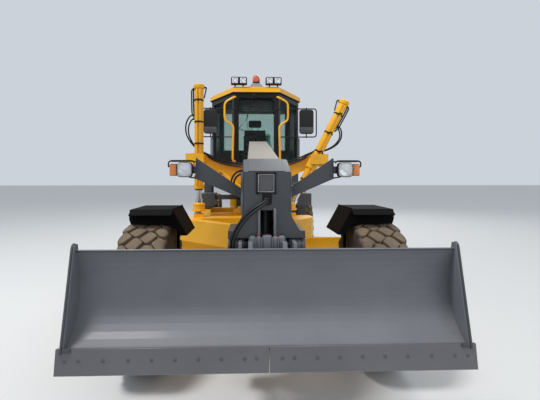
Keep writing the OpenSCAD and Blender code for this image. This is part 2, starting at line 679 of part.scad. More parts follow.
// Cab: a hexagonal ring of posts and rails with an opening in each wall
module cab_prism(t0, t1, z0, z1) {
    translate([0, 0, z0]) linear_extrude(z1 - z0) difference() {
        polygon(inset(CAB, t0));
        polygon(inset(CAB, t1));
    }
}
// A box in wall i, m clear of its two corners, between depths d0 and d1 from the outer face
module wall_box(i, m, d0, d1, z0, z1) {
    a = CAB[i];
    b = CAB[(i + 1) % 6];
    translate([a.x, a.y, z0]) rotate([0, 0, atan2(b.y - a.y, b.x - a.x)])
        translate([m, d0, 0]) cube([norm(b - a) - 2 * m, d1 - d0, z1 - z0]);
}
module at_hinge() {
    d = CAB[2] - CAB[1];
    translate([CAB[1].x, CAB[1].y, 0]) rotate([0, 0, atan2(d.y, d.x)])
        translate([norm(d) - post_m, -hinge_out, 0]) children();
}
module cab_frame() {
    color("dimgray") machine() {
        difference() {
            cab_prism(0, post_w, floor_z + seat_gap, cab_top - seat_gap);
            for (p = PANES) wall_box(p[0], post_m, -10, post_w + 10, p[1], head_z);
            for (i = DOOR_WALLS) wall_box(i, post_m, -10, post_w + 10, floor_z + 20, head_z);
        }
        both_sides() at_hinge() for (z = hinge_z) {
            pin_z(0, 0, hinge_r, z - 60, z + 60);
            for (e = [z - 60, z + 46]) slab(-hinge_r, 45, -hinge_r, hinge_out + 1, e, e + 14);
        }
    }
}
module cab_glass() {
    color("lightblue") machine() for (p = PANES)
        wall_box(p[0], post_m + seat_gap, 22, 22 + glass_t, p[1] + seat_gap, head_z - seat_gap);
}
module door(s) {
    m = post_m + door_gap;
    z0 = floor_z + 20 + door_gap;
    z1 = head_z - door_gap;
    color("dimgray") machine() on_side(s) {
        difference() {
            wall_box(1, m, 0, door_t, z0, z1);
            wall_box(1, m + 55, -10, 60, z0 + 260, z1 - 60);
        }
        wall_box(1, m + 55 + seat_gap, 17, 17 + glass_t, z0 + 260 + seat_gap, z1 - 60 - seat_gap);
        at_hinge() for (z = hinge_z) difference() {
            union() {
                pin_z(0, 0, hinge_r + 6, z - 40, z + 40);
                slab(-55, 0, -5, 5, z - 40, z + 40);
                slab(-60, -20, -5, hinge_out + 1, z - 40, z + 40);
            }
            pin_z(0, 0, hinge_r + run_gap, z - 60, z + 60);
        }
    }
}
module roof() {
    color("gold") machine() {
        flat_plate(inset(CAB, -30), cab_top, roof_t - 30);
        flat_plate(inset(CAB, 10), cab_top + roof_t - 30, 30);
    }
}
// Floor of the cab with the outriggers, boxes and steps below it
module platform() {
    color("dimgray") machine() {
        flat_plate(inset(CAB, -15), floor_z - 60, 60);
        both_sides() {
            slab(700, 950, 2950, 3450, 1310, 1510);
            slab(neck_w / 2 + seat_gap, 701, 3100, 3180, 1400, 1480);
            for (y = [3700, 4160]) slab(820, 960, y, y + 14, 1000, floor_z - 1);
            for (z = [1010, 1230, 1450]) slab(820, 960, 3714, 4160, z, z + 24);
            slab(700, 960, 3700, 4174, floor_z - 60, floor_z - 0.5);
        }
    }
}
module seat() {
    color("black") machine() {
        slab(-250, 250, 3330, 3830, 2080, 2200);
        side_plate([[3740, 2200 + seat_gap], [3830, 2200 + seat_gap], [4000, 2720], [3920, 2740]], 0, 460);
        side_plate([[3920, 2740 + seat_gap], [4000, 2720 + seat_gap], [4035, 2900], [3965, 2910]], 0, 270);
    }
}
module seat_base() {
    color("black") machine() {
        mid_slab(360, 3400, 3760, floor_z + seat_gap, 2060);
        mid_slab(440, 3350, 3810, 2059, 2080 - seat_gap);
    }
}
// Steering console with its wheel and the rows of levers beside it
module console() {
    color("black") machine() {
        side_plate([[2960, floor_z + seat_gap], [3120, floor_z + seat_gap], [3120, 2150], [3180, 2380],
            [3080, 2420], [2990, 2200]], 0, 220);
        translate([0, 3170, 2440]) rotate([-35, 0, 0]) {
            rotate_extrude($fn = 64) translate([180, 0]) circle(r = 14);
            translate([0, 0, -60]) cylinder(r = 30, h = 70);
            for (a = [90, 210, 330]) rotate([0, 0, a]) slab(0, 175, -14, 14, -6, 6);
        }
        for (s = SIDES, i = [0 : 3]) bar_between([s * (134 + 24 * i), 3102, 2185], [s * (134 + 24 * i), 3060, 2480], 6);
        for (s = SIDES) slab(s * 170 - 60, s * 170 + 60, 3060, 3140, 2160, 2210);
    }
}
// A bent tube of n sides through the points of a path, its corners rounded off over a length b
function rounded(path, b, n = 4) = [path[0], for (i = [1 : len(path) - 2], k = [0 : n])
    path[i] + b * (unit(path[i - 1] - path[i]) * (1 - k / n) ^ 2 + unit(path[i + 1] - path[i]) * (k / n) ^ 2),
    path[len(path) - 1]];
function across(v, t) = unit(v - (v * t) * t);
function normals(t, v) = len(v) == len(t) ? v : normals(t, concat(v, [across(v[len(v) - 1], t[len(v)])]));
module tube(path, r, b = 60, n = 12) {
    p = rounded(path, b);
    m = len(p);
    t = [for (i = [0 : m - 1]) unit(p[min(i + 1, m - 1)] - p[max(i - 1, 0)])];
    v = normals(t, [across(cross(t[0], [1, 2, 3]), t[0])]);
    polyhedron([for (i = [0 : m - 1], k = [0 : n - 1])
        p[i] + r * (cos(k * 360 / n) * v[i] + sin(k * 360 / n) * cross(t[i], v[i]))],
        concat([[for (k = [0 : n - 1]) k]], [[for (k = [n - 1 : -1 : 0]) (m - 1) * n + k]],
            [for (i = [1 : m - 1], k = [0 : n - 1])
                [(i - 1) * n + k, i * n + k, i * n + (k + 1) % n, (i - 1) * n + (k + 1) % n]]));
}
module grab_rails() {
    foot_y = CAB[0].y - seat_gap;
    y = CAB[0].y - 60;
    color("gold") machine() both_sides()
        tube([[345, foot_y, 3110], [345, y, 3110], [520, y, 3010], [520, y, 2720], [375, y, 2640], [390, y, 2050],
            [350, foot_y - 8, 2050]], 17);
}
module mirrors() {
    foot_y = CAB[0].y - 15;
    color("black") machine() for (m = [[-1, 640, 860, 900], [1, 710, 940, 990]]) on_side(m[0]) {
        y = CAB[0].y - 45;
        tube([[350, foot_y, 2450], [m[3], y, 2450], [m[3], y, 2915], [350, foot_y, 2915]], 10, 50);
        for (z = [2450, 2915]) slab(325, 365, foot_y - 2, CAB[0].y - seat_gap, z - 25, z + 25);
        x = (m[1] + m[2]) / 2;
        bar_between([x, y + 10, 2450], [x, y + 10, 2915], 10);
        slab(m[1], m[2], y - 25, y + 20, 2500, 2895);
    }
}
// Work lamps and the beacon on the roof
module roof_lamps() {
    z0 = roof_z + seat_gap;
    y = 2700;
    color("black") machine() {
        for (s = SIDES, x = [220, 350]) {
            slab(s * x - 58, s * x + 58, y, y + 70, z0 + 30, z0 + 146);
            pin_z(s * x, y + 40, 14, z0, z0 + 40);
        }
        mid_slab(90, y + 90, y + 180, z0, z0 + 70);
        pin_z(0, y + 135, 50, z0 + 69, z0 + 215);
    }
}
// Rear frame with the joint's tongues, the rails, the rear plate and the tow hitch
module rear_frame() {
    hitch_y = rear_end + 40;
    color("dimgray") machine() difference() {
        union() {
            for (z = [1045, 1495]) {
                flat_plate([[-100, joint_y], [-150, 4620], [150, 4620], [100, joint_y]], z, 70);
                pin_z(0, joint_y, 100, z, z + 70);
            }
            mid_slab(760, 4600, 4700, 900, 1600);
            for (s = SIDES) side_plate([[4699, 1150], [7810, 1150], [7810, 800], [5000, 800], [4800, 900],
                [4699, 900]], s * 340, 80);
            for (y = [5200, 7000]) mid_slab(700, y, y + 120, 850, 1100);
            mid_slab(700, wheelbase - 150, wheelbase + 150, 800, 1000);
            mid_slab(1000, 7800, 7860, 760, 1450);
            for (z = [830, 950]) {
                mid_slab(220, 7859, hitch_y, z, z + 40);
                pin_z(0, hitch_y, 60, z, z + 40);
            }
        }
        pin_z(0, joint_y, joint_r + run_gap, 0, 2000);
        pin_z(0, hitch_y, hitch_r, 0, 2000);
        for (x = SIDES, z = [1200, 1380]) pin_y(x * 400, z, plate_bolt_r, 200, 7830);
    }
}
module tandem_boxes() {
    color("gold") machine() {
        for (s = SIDES) {
            difference() {
                union() {
                    slab(s > 0 ? tandem_x[0] : -tandem_x[1], s > 0 ? tandem_x[1] : -tandem_x[0], tandem_y[0],
                        tandem_y[1], tyre_r - 215, tyre_r + 215);
                    for (y = tandem_y) pin_x(y, tyre_r, 215, tandem_x[1] - tandem_x[0],
                        s * (tandem_x[0] + tandem_x[1]) / 2);
                }
            }
            for (y = tandem_y) {
                pin_x(y, tyre_r, spindle_r, track / 2 + hub_bore_end - 10 - tandem_x[1] + 1,
                    s * (track / 2 + hub_bore_end - 10 + tandem_x[1] - 1) / 2);
                pin_x(y, tyre_r, 105, 140, s * (tandem_x[1] + 69));
            }
            pin_x(wheelbase, tyre_r, 160, 160, s * 551);
        }
        pin_x(wheelbase, tyre_r, 110, 1000);
        mid_slab(420, wheelbase - 260, wheelbase + 260, 460, 800 - seat_gap);
    }
}
// Engine hood: a shell that is open below and behind
module hood_solid(t, y0, y1, z0) {
    w = hood_w / 2 - t;
    z1 = hood_z - t;
    drop = 160;
    difference() {
        front_plate([[-w, z0], [w, z0], [w, z1 - 60], [w - 60, z1], [-w + 60, z1], [-w, z1 - 60]],
            (y0 + y1) / 2, y1 - y0);
        side_plate([[HOOD_Y[0], z1], [HOOD_Y[1], z1 - drop], [HOOD_Y[1] + 200, z1 - drop], [HOOD_Y[1] + 200, z1 + 9],
            [HOOD_Y[0], z1 + 9]], 0, 2000);
    }
}
module hood() {
    color("gold") machine() difference() {
        hood_solid(0, HOOD_Y[0], HOOD_Y[1], 1150 + seat_gap);
        hood_solid(hood_t, HOOD_Y[0] + hood_t, HOOD_Y[1] + 100, 1100);
        for (s = SIDES, y = VENTS) slab(s * hood_w / 2 - 50, s * hood_w / 2 + 50, y[0], y[1], 1350, 1850);
        pin_z(330, 5500, 80, 1900, hood_z + 60);
    }
}
module grilles() {
    color("black") machine() {
        for (s = SIDES, y = VENTS) difference() {
            slab(s * (hood_w / 2 - 15) - 10, s * (hood_w / 2 - 15) + 10, y[0] + seat_gap, y[1] - seat_gap,
                1350 + seat_gap, 1850 - seat_gap);
            for (z = [1375 : 42 : 1815]) slab(s * hood_w / 2 - 60, s * hood_w / 2 + 60, y[0] + 25, y[1] - 25, z, z + 28);
        }
    }
}
// Engine as a plain block, with the radiator behind it and the exhaust stack above the hood
module engine() {
    color("gray") machine() {
        mid_slab(560, 4900, 6200, 1100 + seat_gap, 1850);
        mid_slab(860, 7250, 7450, 1150 + seat_gap, 1980);
        slab(200, 390, 5440, 5560, 1849, 1900);
        pin_z(330, 5500, 60, 1899, hood_z + 560);
    }
}

gooseneck();
neck_cover();
saddle();
front_bracket();
lamp_arms();
lamp_lenses();
front_axle();
lean_gear();
platform();
cab_frame();
roof();  // cab_roof
cab_glass();
seat();
seat_base();
console();
grab_rails();
mirrors();
roof_lamps();
lift_barrel(ball_left, -1);  // lift_barrel_left
knuckle(-1);  // knuckle_left
knuckle(1);  // knuckle_right
fender(-1);  // fender_left
fender(1);  // fender_right
tie_rod();
tyre(-1, 0);  // tyre_front_left
rim(-1, 0);  // rim_front_left
tyre(1, 0);  // tyre_front_right
rim(1, 0);  // rim_front_right
tyre(-1, tandem_y[0]);  // tyre_mid_left
rim(-1, tandem_y[0]);  // rim_mid_left
tyre(1, tandem_y[0]);  // tyre_mid_right
rim(1, tandem_y[0]);  // rim_mid_right
tyre(-1, tandem_y[1]);  // tyre_rear_left
rim(-1, tandem_y[1]);  // rim_rear_left
tyre(1, tandem_y[1]);  // tyre_rear_right
rim(1, tandem_y[1]);  // rim_rear_right
drawbar();
circle_drive();
lift_barrel(ball_right, 1);  // lift_barrel_right
lift_rod(ball_left, -1);  // lift_rod_left
lift_rod(ball_right, 1);  // lift_rod_right
shift_barrel();
shift_rod();
circle_ring();  // circle
blade_carrier();
main_blade();
dozer_arms();  // lower_arm
dozer_link();  // upper_link
front_blade();
ram_barrel();
ram_rod();
rear_frame();
tandem_boxes();
hood();
grilles();
engine();
door(-1);  // cab_door_left
door(1);  // cab_door_right
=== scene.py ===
"""Looks of a motor grader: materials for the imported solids, and the detail that lies on them."""
import json
import math

import bmesh
import bpy
from mathutils import Matrix, Vector

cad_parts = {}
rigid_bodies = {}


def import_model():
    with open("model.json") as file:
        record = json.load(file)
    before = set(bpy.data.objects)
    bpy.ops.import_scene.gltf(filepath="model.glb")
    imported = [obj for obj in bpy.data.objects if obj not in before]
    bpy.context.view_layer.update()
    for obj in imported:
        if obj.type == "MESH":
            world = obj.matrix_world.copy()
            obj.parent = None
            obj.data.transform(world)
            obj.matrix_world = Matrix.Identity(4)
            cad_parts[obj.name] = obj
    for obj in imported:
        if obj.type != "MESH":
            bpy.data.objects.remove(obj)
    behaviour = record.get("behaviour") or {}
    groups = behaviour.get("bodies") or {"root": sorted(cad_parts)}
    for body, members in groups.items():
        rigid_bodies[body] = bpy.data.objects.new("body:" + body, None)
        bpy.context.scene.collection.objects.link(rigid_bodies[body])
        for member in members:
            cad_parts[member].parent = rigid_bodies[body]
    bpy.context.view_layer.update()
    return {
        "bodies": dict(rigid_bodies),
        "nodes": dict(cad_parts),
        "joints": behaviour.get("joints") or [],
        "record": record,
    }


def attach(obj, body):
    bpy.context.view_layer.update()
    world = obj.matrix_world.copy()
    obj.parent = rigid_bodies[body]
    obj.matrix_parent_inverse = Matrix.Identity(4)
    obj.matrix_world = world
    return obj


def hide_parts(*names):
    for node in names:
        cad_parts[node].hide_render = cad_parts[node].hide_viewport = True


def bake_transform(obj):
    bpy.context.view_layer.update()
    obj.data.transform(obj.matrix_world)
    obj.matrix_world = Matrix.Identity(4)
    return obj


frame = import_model()
SCENE = bpy.context.scene
SLOT_OF = {part["node"]: part["material_slot"] for part in frame["record"]["subparts"]}

# The machine's front axle stands at this Y. Places below are often written as distances behind it.
AXLE_Y = -3.375
HALF_TRACK = 1078


# Shader maths
class Sock:
    """A node socket that can stand in a Python expression."""

    def __init__(self, mat, out):
        self.mat = mat
        self.out = out

    def _math(self, op, *inputs):
        return self.mat.node("ShaderNodeMath", {"operation": op}, dict(enumerate(inputs)))

    def __add__(self, other):
        return self._math("ADD", self, other)

    def __sub__(self, other):
        return self._math("SUBTRACT", self, other)

    def __rsub__(self, other):
        return self._math("SUBTRACT", other, self)

    def __mul__(self, other):
        return self._math("MULTIPLY", self, other)

    def abs(self):
        return self._math("ABSOLUTE", self)

    def clamp(self):
        return self.mat.node("ShaderNodeClamp", {}, {"Value": self})

    def over(self, low, high):
        """0 below low and 1 above high, with a smooth step between."""
        return self.mat.node("ShaderNodeMapRange", {"interpolation_type": "SMOOTHSTEP"},
                             {"Value": self, "From Min": low, "From Max": high})


def rgba(colour):
    """A colour as a node wants it. A socket stays as it is."""
    return colour if isinstance(colour, Sock) else (*colour, 1)


class Finish:
    """A material and the few nodes that its maths needs."""

    def __init__(self, name):
        self.mat = bpy.data.materials.new(name)
        self.mat.use_nodes = True
        self.tree = self.mat.node_tree
        self.bsdf = self.tree.nodes["Principled BSDF"]
        self.coords = self.node("ShaderNodeTexCoord", {}, {}, "Object")

    def node(self, kind, settings, inputs, out=0):
        """Makes a node: its settings first, then the values or links of its sockets."""
        made = self.tree.nodes.new(kind)
        for key, value in settings.items():
            setattr(made, key, value)
        self.feed(made, inputs)
        return Sock(self, made.outputs[out])

    def feed(self, node, inputs):
        """Gives the sockets of a node their values or links."""
        for key, value in inputs.items():
            if isinstance(value, Sock):
                self.tree.links.new(value.out, node.inputs[key])
            else:
                node.inputs[key].default_value = value

    def axis(self, name, vector=None):
        """One part of a vector, which is the place on the object if no other is given."""
        return self.node("ShaderNodeSeparateXYZ", {}, {"Vector": vector or self.coords}, name)

    def noise(self, scale, detail=4, rough=0.55):
        return self.node("ShaderNodeTexNoise", {},
                         {"Vector": self.coords, "Scale": scale, "Detail": detail, "Roughness": rough})

    def mix(self, a, b, share):
        return self.node("ShaderNodeMix", {"data_type": "RGBA"}, {0: share, 6: rgba(a), 7: rgba(b)}, 2)

    def bump(self, height, strength, distance):
        return self.node("ShaderNodeBump", {}, {"Strength": strength, "Distance": distance, "Height": height})

    def set(self, **values):
        """Gives the surface its colour, roughness and so on. Returns the material."""
        names = {"base": "Base Color", "rough": "Roughness", "metal": "Metallic", "coat": "Coat Weight",
                 "coat_rough": "Coat Roughness", "shine": "Specular IOR Level", "alpha": "Alpha", "normal": "Normal"}
        self.feed(self.bsdf, {names[key]: rgba(value) if key == "base" else value for key, value in values.items()})
        return self.mat


DUST = (0.42, 0.37, 0.30)


def paint(name, colour, rough=0.38, dust=0.25, coat=0.15, shine=0.5):
    """Sprayed paint: slight cloudy tone, fine orange peel, dust on what faces up and near the ground."""
    up_dust, low_dust, orange_peel = 0.55, 0.5, 0.02
    f = Finish(name)
    cloud = f.noise(1.7, 3)
    fine = f.noise(38, 5, 0.65)
    upward = f.axis("Z", f.node("ShaderNodeNewGeometry", {}, {}, "Normal"))
    dirt = ((upward.over(0.25, 0.95) * up_dust + (1 - f.axis("Z").over(0.15, 1.1)) * low_dust)
            * (fine * 0.9 + cloud * 0.7)).clamp() * dust
    tone = f.mix(tuple(c * 0.86 for c in colour), colour, cloud.over(0.3, 0.7))
    return f.set(base=f.mix(tone, DUST, dirt), rough=(dirt * 0.9 + cloud * 0.1 + (rough - 0.05)).clamp(), coat=coat,
                 coat_rough=0.12, shine=shine, normal=f.bump(f.noise(420, 2), orange_peel, 0.002))


YELLOW = (0.84, 0.42, 0.008)
MATS = {
    "yellow_paint": paint("grader_yellow_paint", YELLOW, dust=0.04, coat=0.08, shine=0.35),
    "rim_yellow": paint("wheel_rim_yellow", YELLOW, dust=0.4),
    "dark_grey_paint": paint("dark_grey_paint", (0.044, 0.047, 0.054), rough=0.42, dust=0.06),
    "blade_grey": paint("blade_grey_paint", (0.145, 0.150, 0.165), rough=0.56, dust=0.06, coat=0.04),
    "black_paint": paint("black_cab_paint", (0.007, 0.007, 0.008), rough=0.34, dust=0.02, coat=0.04, shine=0.2),
    "fender_black": paint("fender_black_paint", (0.004, 0.004, 0.004), rough=0.75, dust=0.01, coat=0, shine=0.06),
    "taupe_paint": paint("taupe_cover_paint", (0.30, 0.265, 0.225), rough=0.5, dust=0.10),
}


def plain(name, colour, rough, metal=0, bumps=0, scale=60, coat=0):
    """Metal, plastic, hose or cloth with a grain, which also makes bumps if wanted."""
    f = Finish(name)
    grain = f.noise(scale, 5, 0.6)
    if bumps:
        f.set(normal=f.bump(grain, bumps, 0.002))
    return f.set(base=f.mix(tuple(c * 0.8 for c in colour), colour, grain.over(0.3, 0.7)), metal=metal,
                 rough=(grain * 0.15 + (rough - 0.07)).clamp(), coat=coat, shine=0.5 if metal or coat else 0.28)


def rubber(name):
    """Tyre rubber, brown with dried mud on the tread and black on the side walls."""
    f = Finish(name)
    from_middle = (f.axis("X").abs() - HALF_TRACK / 1000).abs()
    patches = f.noise(7, 5, 0.6)
    grain = f.noise(60, 4, 0.6)
    wall = from_middle.over(0.185, 0.222)
    mud = ((1 - wall) * (patches * 0.9 + grain * 0.55 + 0.05) + wall * (patches.over(0.5, 0.75) * 0.25)).clamp()
    return f.set(base=f.mix((0.020, 0.018, 0.016), (0.185, 0.132, 0.085), mud), rough=grain * 0.1 + 0.8,
                 normal=f.bump(grain, 0.4, 0.003))


def window(name):
    """Cab glass: nearly clear, and strongly tinted in the rear window."""
    f = Finish(name)
    rear = f.axis("Y").over(AXLE_Y + 4.18, AXLE_Y + 4.26)
    return f.set(base=f.mix((0.03, 0.07, 0.065), (0.03, 0.98, 0.78), rear), rough=f.noise(2.2, 3) * 0.06 + 0.02,
                 alpha=rear * 0.34 + 0.06)


def clear(name, colour, alpha):
    """Lamp glass with a slight smear."""
    f = Finish(name)
    return f.set(base=colour, rough=f.noise(2.2, 3) * 0.06 + 0.02, alpha=alpha)


MATS.update({
    "bare_steel": plain("bare_steel", (0.42, 0.42, 0.43), 0.35, 1, 0.1),
    "chrome_rod": plain("chrome_rod", (0.75, 0.76, 0.78), 0.14, 1),
    "cast_iron": plain("cast_iron", (0.10, 0.10, 0.105), 0.6, 0.3, 0.3),
    "tyre": rubber("tyre_rubber"),
    "glass": window("cab_glass"),
    "lens": clear("lamp_lens", (0.75, 0.78, 0.80), 0.45),
    "black_plastic": plain("black_plastic", (0.009, 0.009, 0.010), 0.5, 0, 0.15, 160),
    "seat_fabric": plain("seat_cloth", (0.03, 0.03, 0.033), 0.9, 0, 0.3, 300),
    "worn_steel": plain("worn_steel", (0.20, 0.195, 0.19), 0.5, 0.8, 0.25, 30),
    "edge_grey": paint("edge_grey_paint", (0.105, 0.105, 0.115), rough=0.45, dust=0.06),
    "red_plastic": plain("red_plastic", (0.25, 0.03, 0.02), 0.5),
    "hose": plain("hose_rubber", (0.015, 0.015, 0.016), 0.45, 0, 0.1, 90),
    "orange_lens": clear("orange_lens", (0.80, 0.26, 0.06), 0.88),
    "beacon_lens": clear("beacon_lens", (0.55, 0.12, 0.05), 0.93),
    "red_lens": clear("red_lens", (0.50, 0.01, 0.01), 0.94),
    "mirror": plain("mirror_glass", (0.55, 0.57, 0.58), 0.06, 1),
    "lamp_white": plain("lamp_white", (0.72, 0.74, 0.76), 0.22, 0, 0, 60, 0.8),
})

# Nodes whose finish differs from the rest of their slot
FINISH_OF = {"front_blade": "blade_grey", "fender_left": "fender_black", "fender_right": "fender_black",
             "cab_frame": "black_paint"}
for name, thing in frame["nodes"].items():
    thing.data.materials.clear()
    thing.data.materials.append(MATS[FINISH_OF.get(name, SLOT_OF[name])])

# Places taken over from the CAD part, in millimetres, Y behind the front axle: the lift cylinders' balls and pins,
# the circle's centre, the cab's corners and the top of its windows
BALLS = (Vector((-817.3, 1680.5, 1340)), Vector((457.3, 1798.8, 1340)))
PINS = (Vector((-817.3, 1680.5, 2040)), Vector((817.3, 1798.8, 2040)))
CIRCLE = (-270.7, 2717.5)
CAB = [(370, 2740), (800, 3550), (700, 4340), (-700, 4340), (-800, 3550), (-370, 2740)]
HEAD = 3105
SIDES = ((-1, "left"), (1, "right"))


# Mesh work
def bend(points, reach=60, steps=5):
    """The points of a path with each corner rounded off over reach."""
    path = [Vector(p) for p in points]
    out = [path[0]]
    for before, here, after in zip(path, path[1:], path[2:]):
        a, b = before - here, after - here
        ra, rb = min(reach, a.length * 0.5), min(reach, b.length * 0.5)
        for k in range(steps + 1):
            t = k / steps
            out.append(here + a.normalized() * ra * (1 - t) ** 2 + b.normalized() * rb * t ** 2)
    out.append(path[-1])
    return out


def frames(path):
    """A turning matrix for each point of a path, its Z axis along the path, without twist."""
    out = []
    side = None
    for i, point in enumerate(path):
        ahead = (path[min(i + 1, len(path) - 1)] - path[max(i - 1, 0)]).normalized()
        if side is None:
            side = ahead.orthogonal()
        side = (side - ahead * side.dot(ahead)).normalized()
        up = ahead.cross(side)
        out.append(Matrix.Translation(point) @ Matrix((side, up, ahead)).transposed().to_4x4())
    return out


def rounded(bm, edge, segments=2, sharp=0.5):
    """Bevels the sharp edges of a bmesh."""
    edges = [e for e in bm.edges if len(e.link_faces) != 2 or e.calc_face_angle(0) > sharp]
    bmesh.ops.bevel(bm, geom=edges, offset=edge, segments=segments, profile=0.5, affect="EDGES", material=-1,
                    clamp_overlap=True)


def span(mid, half):
    """The two limits at half on each side of mid."""
    return mid - half, mid + half


def new_object(name, data):
    """An object that is linked into the scene."""
    made = bpy.data.objects.new(name, data)
    SCENE.collection.objects.link(made)
    return made


def around(n, r, first=0):
    """n places on a circle of radius r, turned by a share of the step between two."""
    return [(r * math.cos(a), r * math.sin(a)) for a in (math.tau * (k + first) / n for k in range(n))]


def finished(bm, name, finish, body, over, crease=None):
    """The piece that a bmesh in metres gives: smooth but for its sharp edges, riding on its body, if it has one."""
    mesh = bpy.data.meshes.new(name)
    bm.to_mesh(mesh)
    bm.free()
    mesh.shade_smooth()
    if crease:
        mesh.set_sharp_from_angle(angle=math.radians(crease))
    mesh.materials.append(MATS[finish])
    piece = new_object(name, mesh)
    if body:
        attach(piece, body)
    if over:
        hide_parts(*over)
    return piece


class Shape:
    """A mesh that grows by bmesh operators. Sizes are millimetres, Y is the distance behind the front axle."""

    def __init__(self):
        self.bm = bmesh.new()

    def _join(self, part, matrix=None):
        """Adds the mesh of another bmesh to this one, and frees that one."""
        if matrix is not None:
            bmesh.ops.transform(part, matrix=matrix, verts=part.verts)
        mesh = bpy.data.meshes.new("joined")
        part.to_mesh(mesh)
        part.free()
        self.bm.from_mesh(mesh)
        bpy.data.meshes.remove(mesh)
        return self

    def box(self, x, y, z, edge=0, segments=2, turn=None):
        """A block between three pairs of limits. turn is (axis, degrees) about its middle."""
        mid = Vector([(a + b) / 2 for a, b in (x, y, z)])
        part = bmesh.new()
        bmesh.ops.create_cube(part, size=1, matrix=Matrix.Diagonal([b - a for a, b in (x, y, z)] + [1]))
        if edge:
            rounded(part, edge, segments)
        spin = Matrix.Rotation(math.radians(turn[1]), 4, turn[0]) if turn else Matrix.Identity(4)
        return self._join(part, Matrix.Translation(mid) @ spin)

    def rod(self, p, q, r, r2=None, n=20, edge=0):
        """A round bar or cone between two points, its rims rounded by edge."""
        p, q = Vector(p), Vector(q)
        part = bmesh.new()
        bmesh.ops.create_cone(part, cap_ends=True, segments=n, radius1=r, radius2=r if r2 is None else r2,
                              depth=(q - p).length)
        if edge:
            rounded(part, edge, 2, 1.2)
        turn = (q - p).to_track_quat("Z", "Y").to_matrix().to_4x4()
        return self._join(part, Matrix.Translation((p + q) / 2) @ turn)

    def plate(self, outline, axis, start, thick, edge=0, segments=1):
        """A plate with its outline across one axis: Y and Z for x, X and Z for y, X and Y for z."""
        part = bmesh.new()
        i = "xyz".index(axis)
        face = part.faces.new([part.verts.new((*p[:i], start, *p[i:])) for p in outline])
        made = bmesh.ops.extrude_face_region(part, geom=[face])["geom"]
        shift = Vector()
        shift[i] = thick
        bmesh.ops.translate(part, vec=shift, verts=[g for g in made if isinstance(g, bmesh.types.BMVert)])
        if edge:
            rounded(part, edge, segments)
        return self._join(part)

    def lathe(self, profile, centre=(0, 0, 0), axis=(0, 0, 1), n=32):
        """Turns a profile of (radius, height along axis) about an axis through centre."""
        part = bmesh.new()
        verts = [part.verts.new((r, 0, h)) for r, h in profile]
        edges = [part.edges.new(pair) for pair in zip(verts, verts[1:])]
        bmesh.ops.spin(part, geom=verts + edges, cent=(0, 0, 0), axis=(0, 0, 1), angle=math.tau, steps=n,
                       use_merge=True)
        bmesh.ops.remove_doubles(part, verts=part.verts, dist=0.01)
        turn = Vector(axis).to_track_quat("Z", "Y").to_matrix().to_4x4()
        return self._join(part, Matrix.Translation(Vector(centre)) @ turn)

    def tube(self, path, r, n=10, reach=0):
        """A round tube along a path, its corners rounded off over reach."""
        part = bmesh.new()
        steps = frames(bend(path, reach) if reach else [Vector(p) for p in path])
        ring = bmesh.ops.create_circle(part, cap_ends=True, segments=n, radius=r, matrix=steps[0])["verts"]
        edges = list({e for v in ring for e in v.link_edges})
        for last, here in zip(steps, steps[1:]):
            made = bmesh.ops.extrude_edge_only(part, edges=edges)["geom"]
            ring = [g for g in made if isinstance(g, bmesh.types.BMVert)]
            edges = [g for g in made if isinstance(g, bmesh.types.BMEdge) and all(v in ring for v in g.verts)]
            bmesh.ops.transform(part, matrix=here @ last.inverted(), verts=ring)
        bmesh.ops.edgeloop_fill(part, edges=edges)
        return self._join(part)

    def bolts(self, places, axis, r=12, h=9):
        """Hexagon heads on washers. Each place is on the surface, and axis points out of it."""
        out = Vector(axis).normalized()
        for place in places:
            p = Vector(place)
            self.rod(p - out, p + out * h * 0.25, r * 1.25, n=14)
            self.rod(p, p + out * h, r, n=6, edge=r * 0.12)
        return self

    def add(self, other, *matrices):
        """Adds another shape, once for each matrix, and frees it."""
        for matrix in matrices:
            self._join(other.bm.copy(), matrix)
        other.bm.free()
        return self

    def in_metres(self):
        """The bmesh at its place in the row frame, in metres."""
        bmesh.ops.transform(self.bm, matrix=Matrix.Translation((0, AXLE_Y, 0)) @ Matrix.Scale(0.001, 4),
                            verts=self.bm.verts)
        bmesh.ops.recalc_face_normals(self.bm, faces=self.bm.faces)
        return self.bm

    def done(self, name, finish, slot=None, body="front_frame", over=(), crease=35):
        """The finished piece. finish is a key of MATS. slot is not used."""
        return finished(self.in_metres(), name, finish, body, over, crease)


# Wheels, drawn about Z with the outer side up
TYRE_R = 675
TREAD_DEPTH = 34
SHOULDER = 140
BLOCKS = 24


def on_wheel(shape, sign, y):
    """The shape moved from the drawing place to its wheel."""
    turn = Matrix.Rotation(math.radians(90 * sign), 4, "Y")
    return Shape().add(shape, Matrix.Translation((sign * HALF_TRACK, y, TYRE_R)) @ turn)


def tread_block(outline):
    """One tread block, drawn flat as (round the tyre, across it), then wrapped round the tyre."""
    block = Shape()
    block.plate(outline, "z", -TREAD_DEPTH, TREAD_DEPTH)
    bm = block.bm
    top = [v for v in bm.verts if v.co.z > -1]
    mid = sum((v.co for v in top), Vector()) / len(top)
    for v in top:
        v.co.x += (mid.x - v.co.x) * 0.06
        v.co.y += (mid.y - v.co.y) * 0.05
    rounded(bm, 4.5, 1, 0.6)
    cuts = [((u, 0, 0), (1, 0, 0)) for u in (-45, 0, 45)] + [((0, w, 0), (0, 1, 0)) for w in (-175, 175)]
    for place, normal in cuts:
        bmesh.ops.bisect_plane(bm, geom=bm.verts[:] + bm.edges[:] + bm.faces[:], plane_co=place, plane_no=normal)
    # The tread falls off from the shoulders outwards
    for v in bm.verts:
        u, w, h = v.co
        r = TYRE_R - 1 + h - max(0, abs(w) - SHOULDER) ** 2 * 0.0055
        v.co = (r * math.cos(u / TYRE_R), r * math.sin(u / TYRE_R), w)
    return block


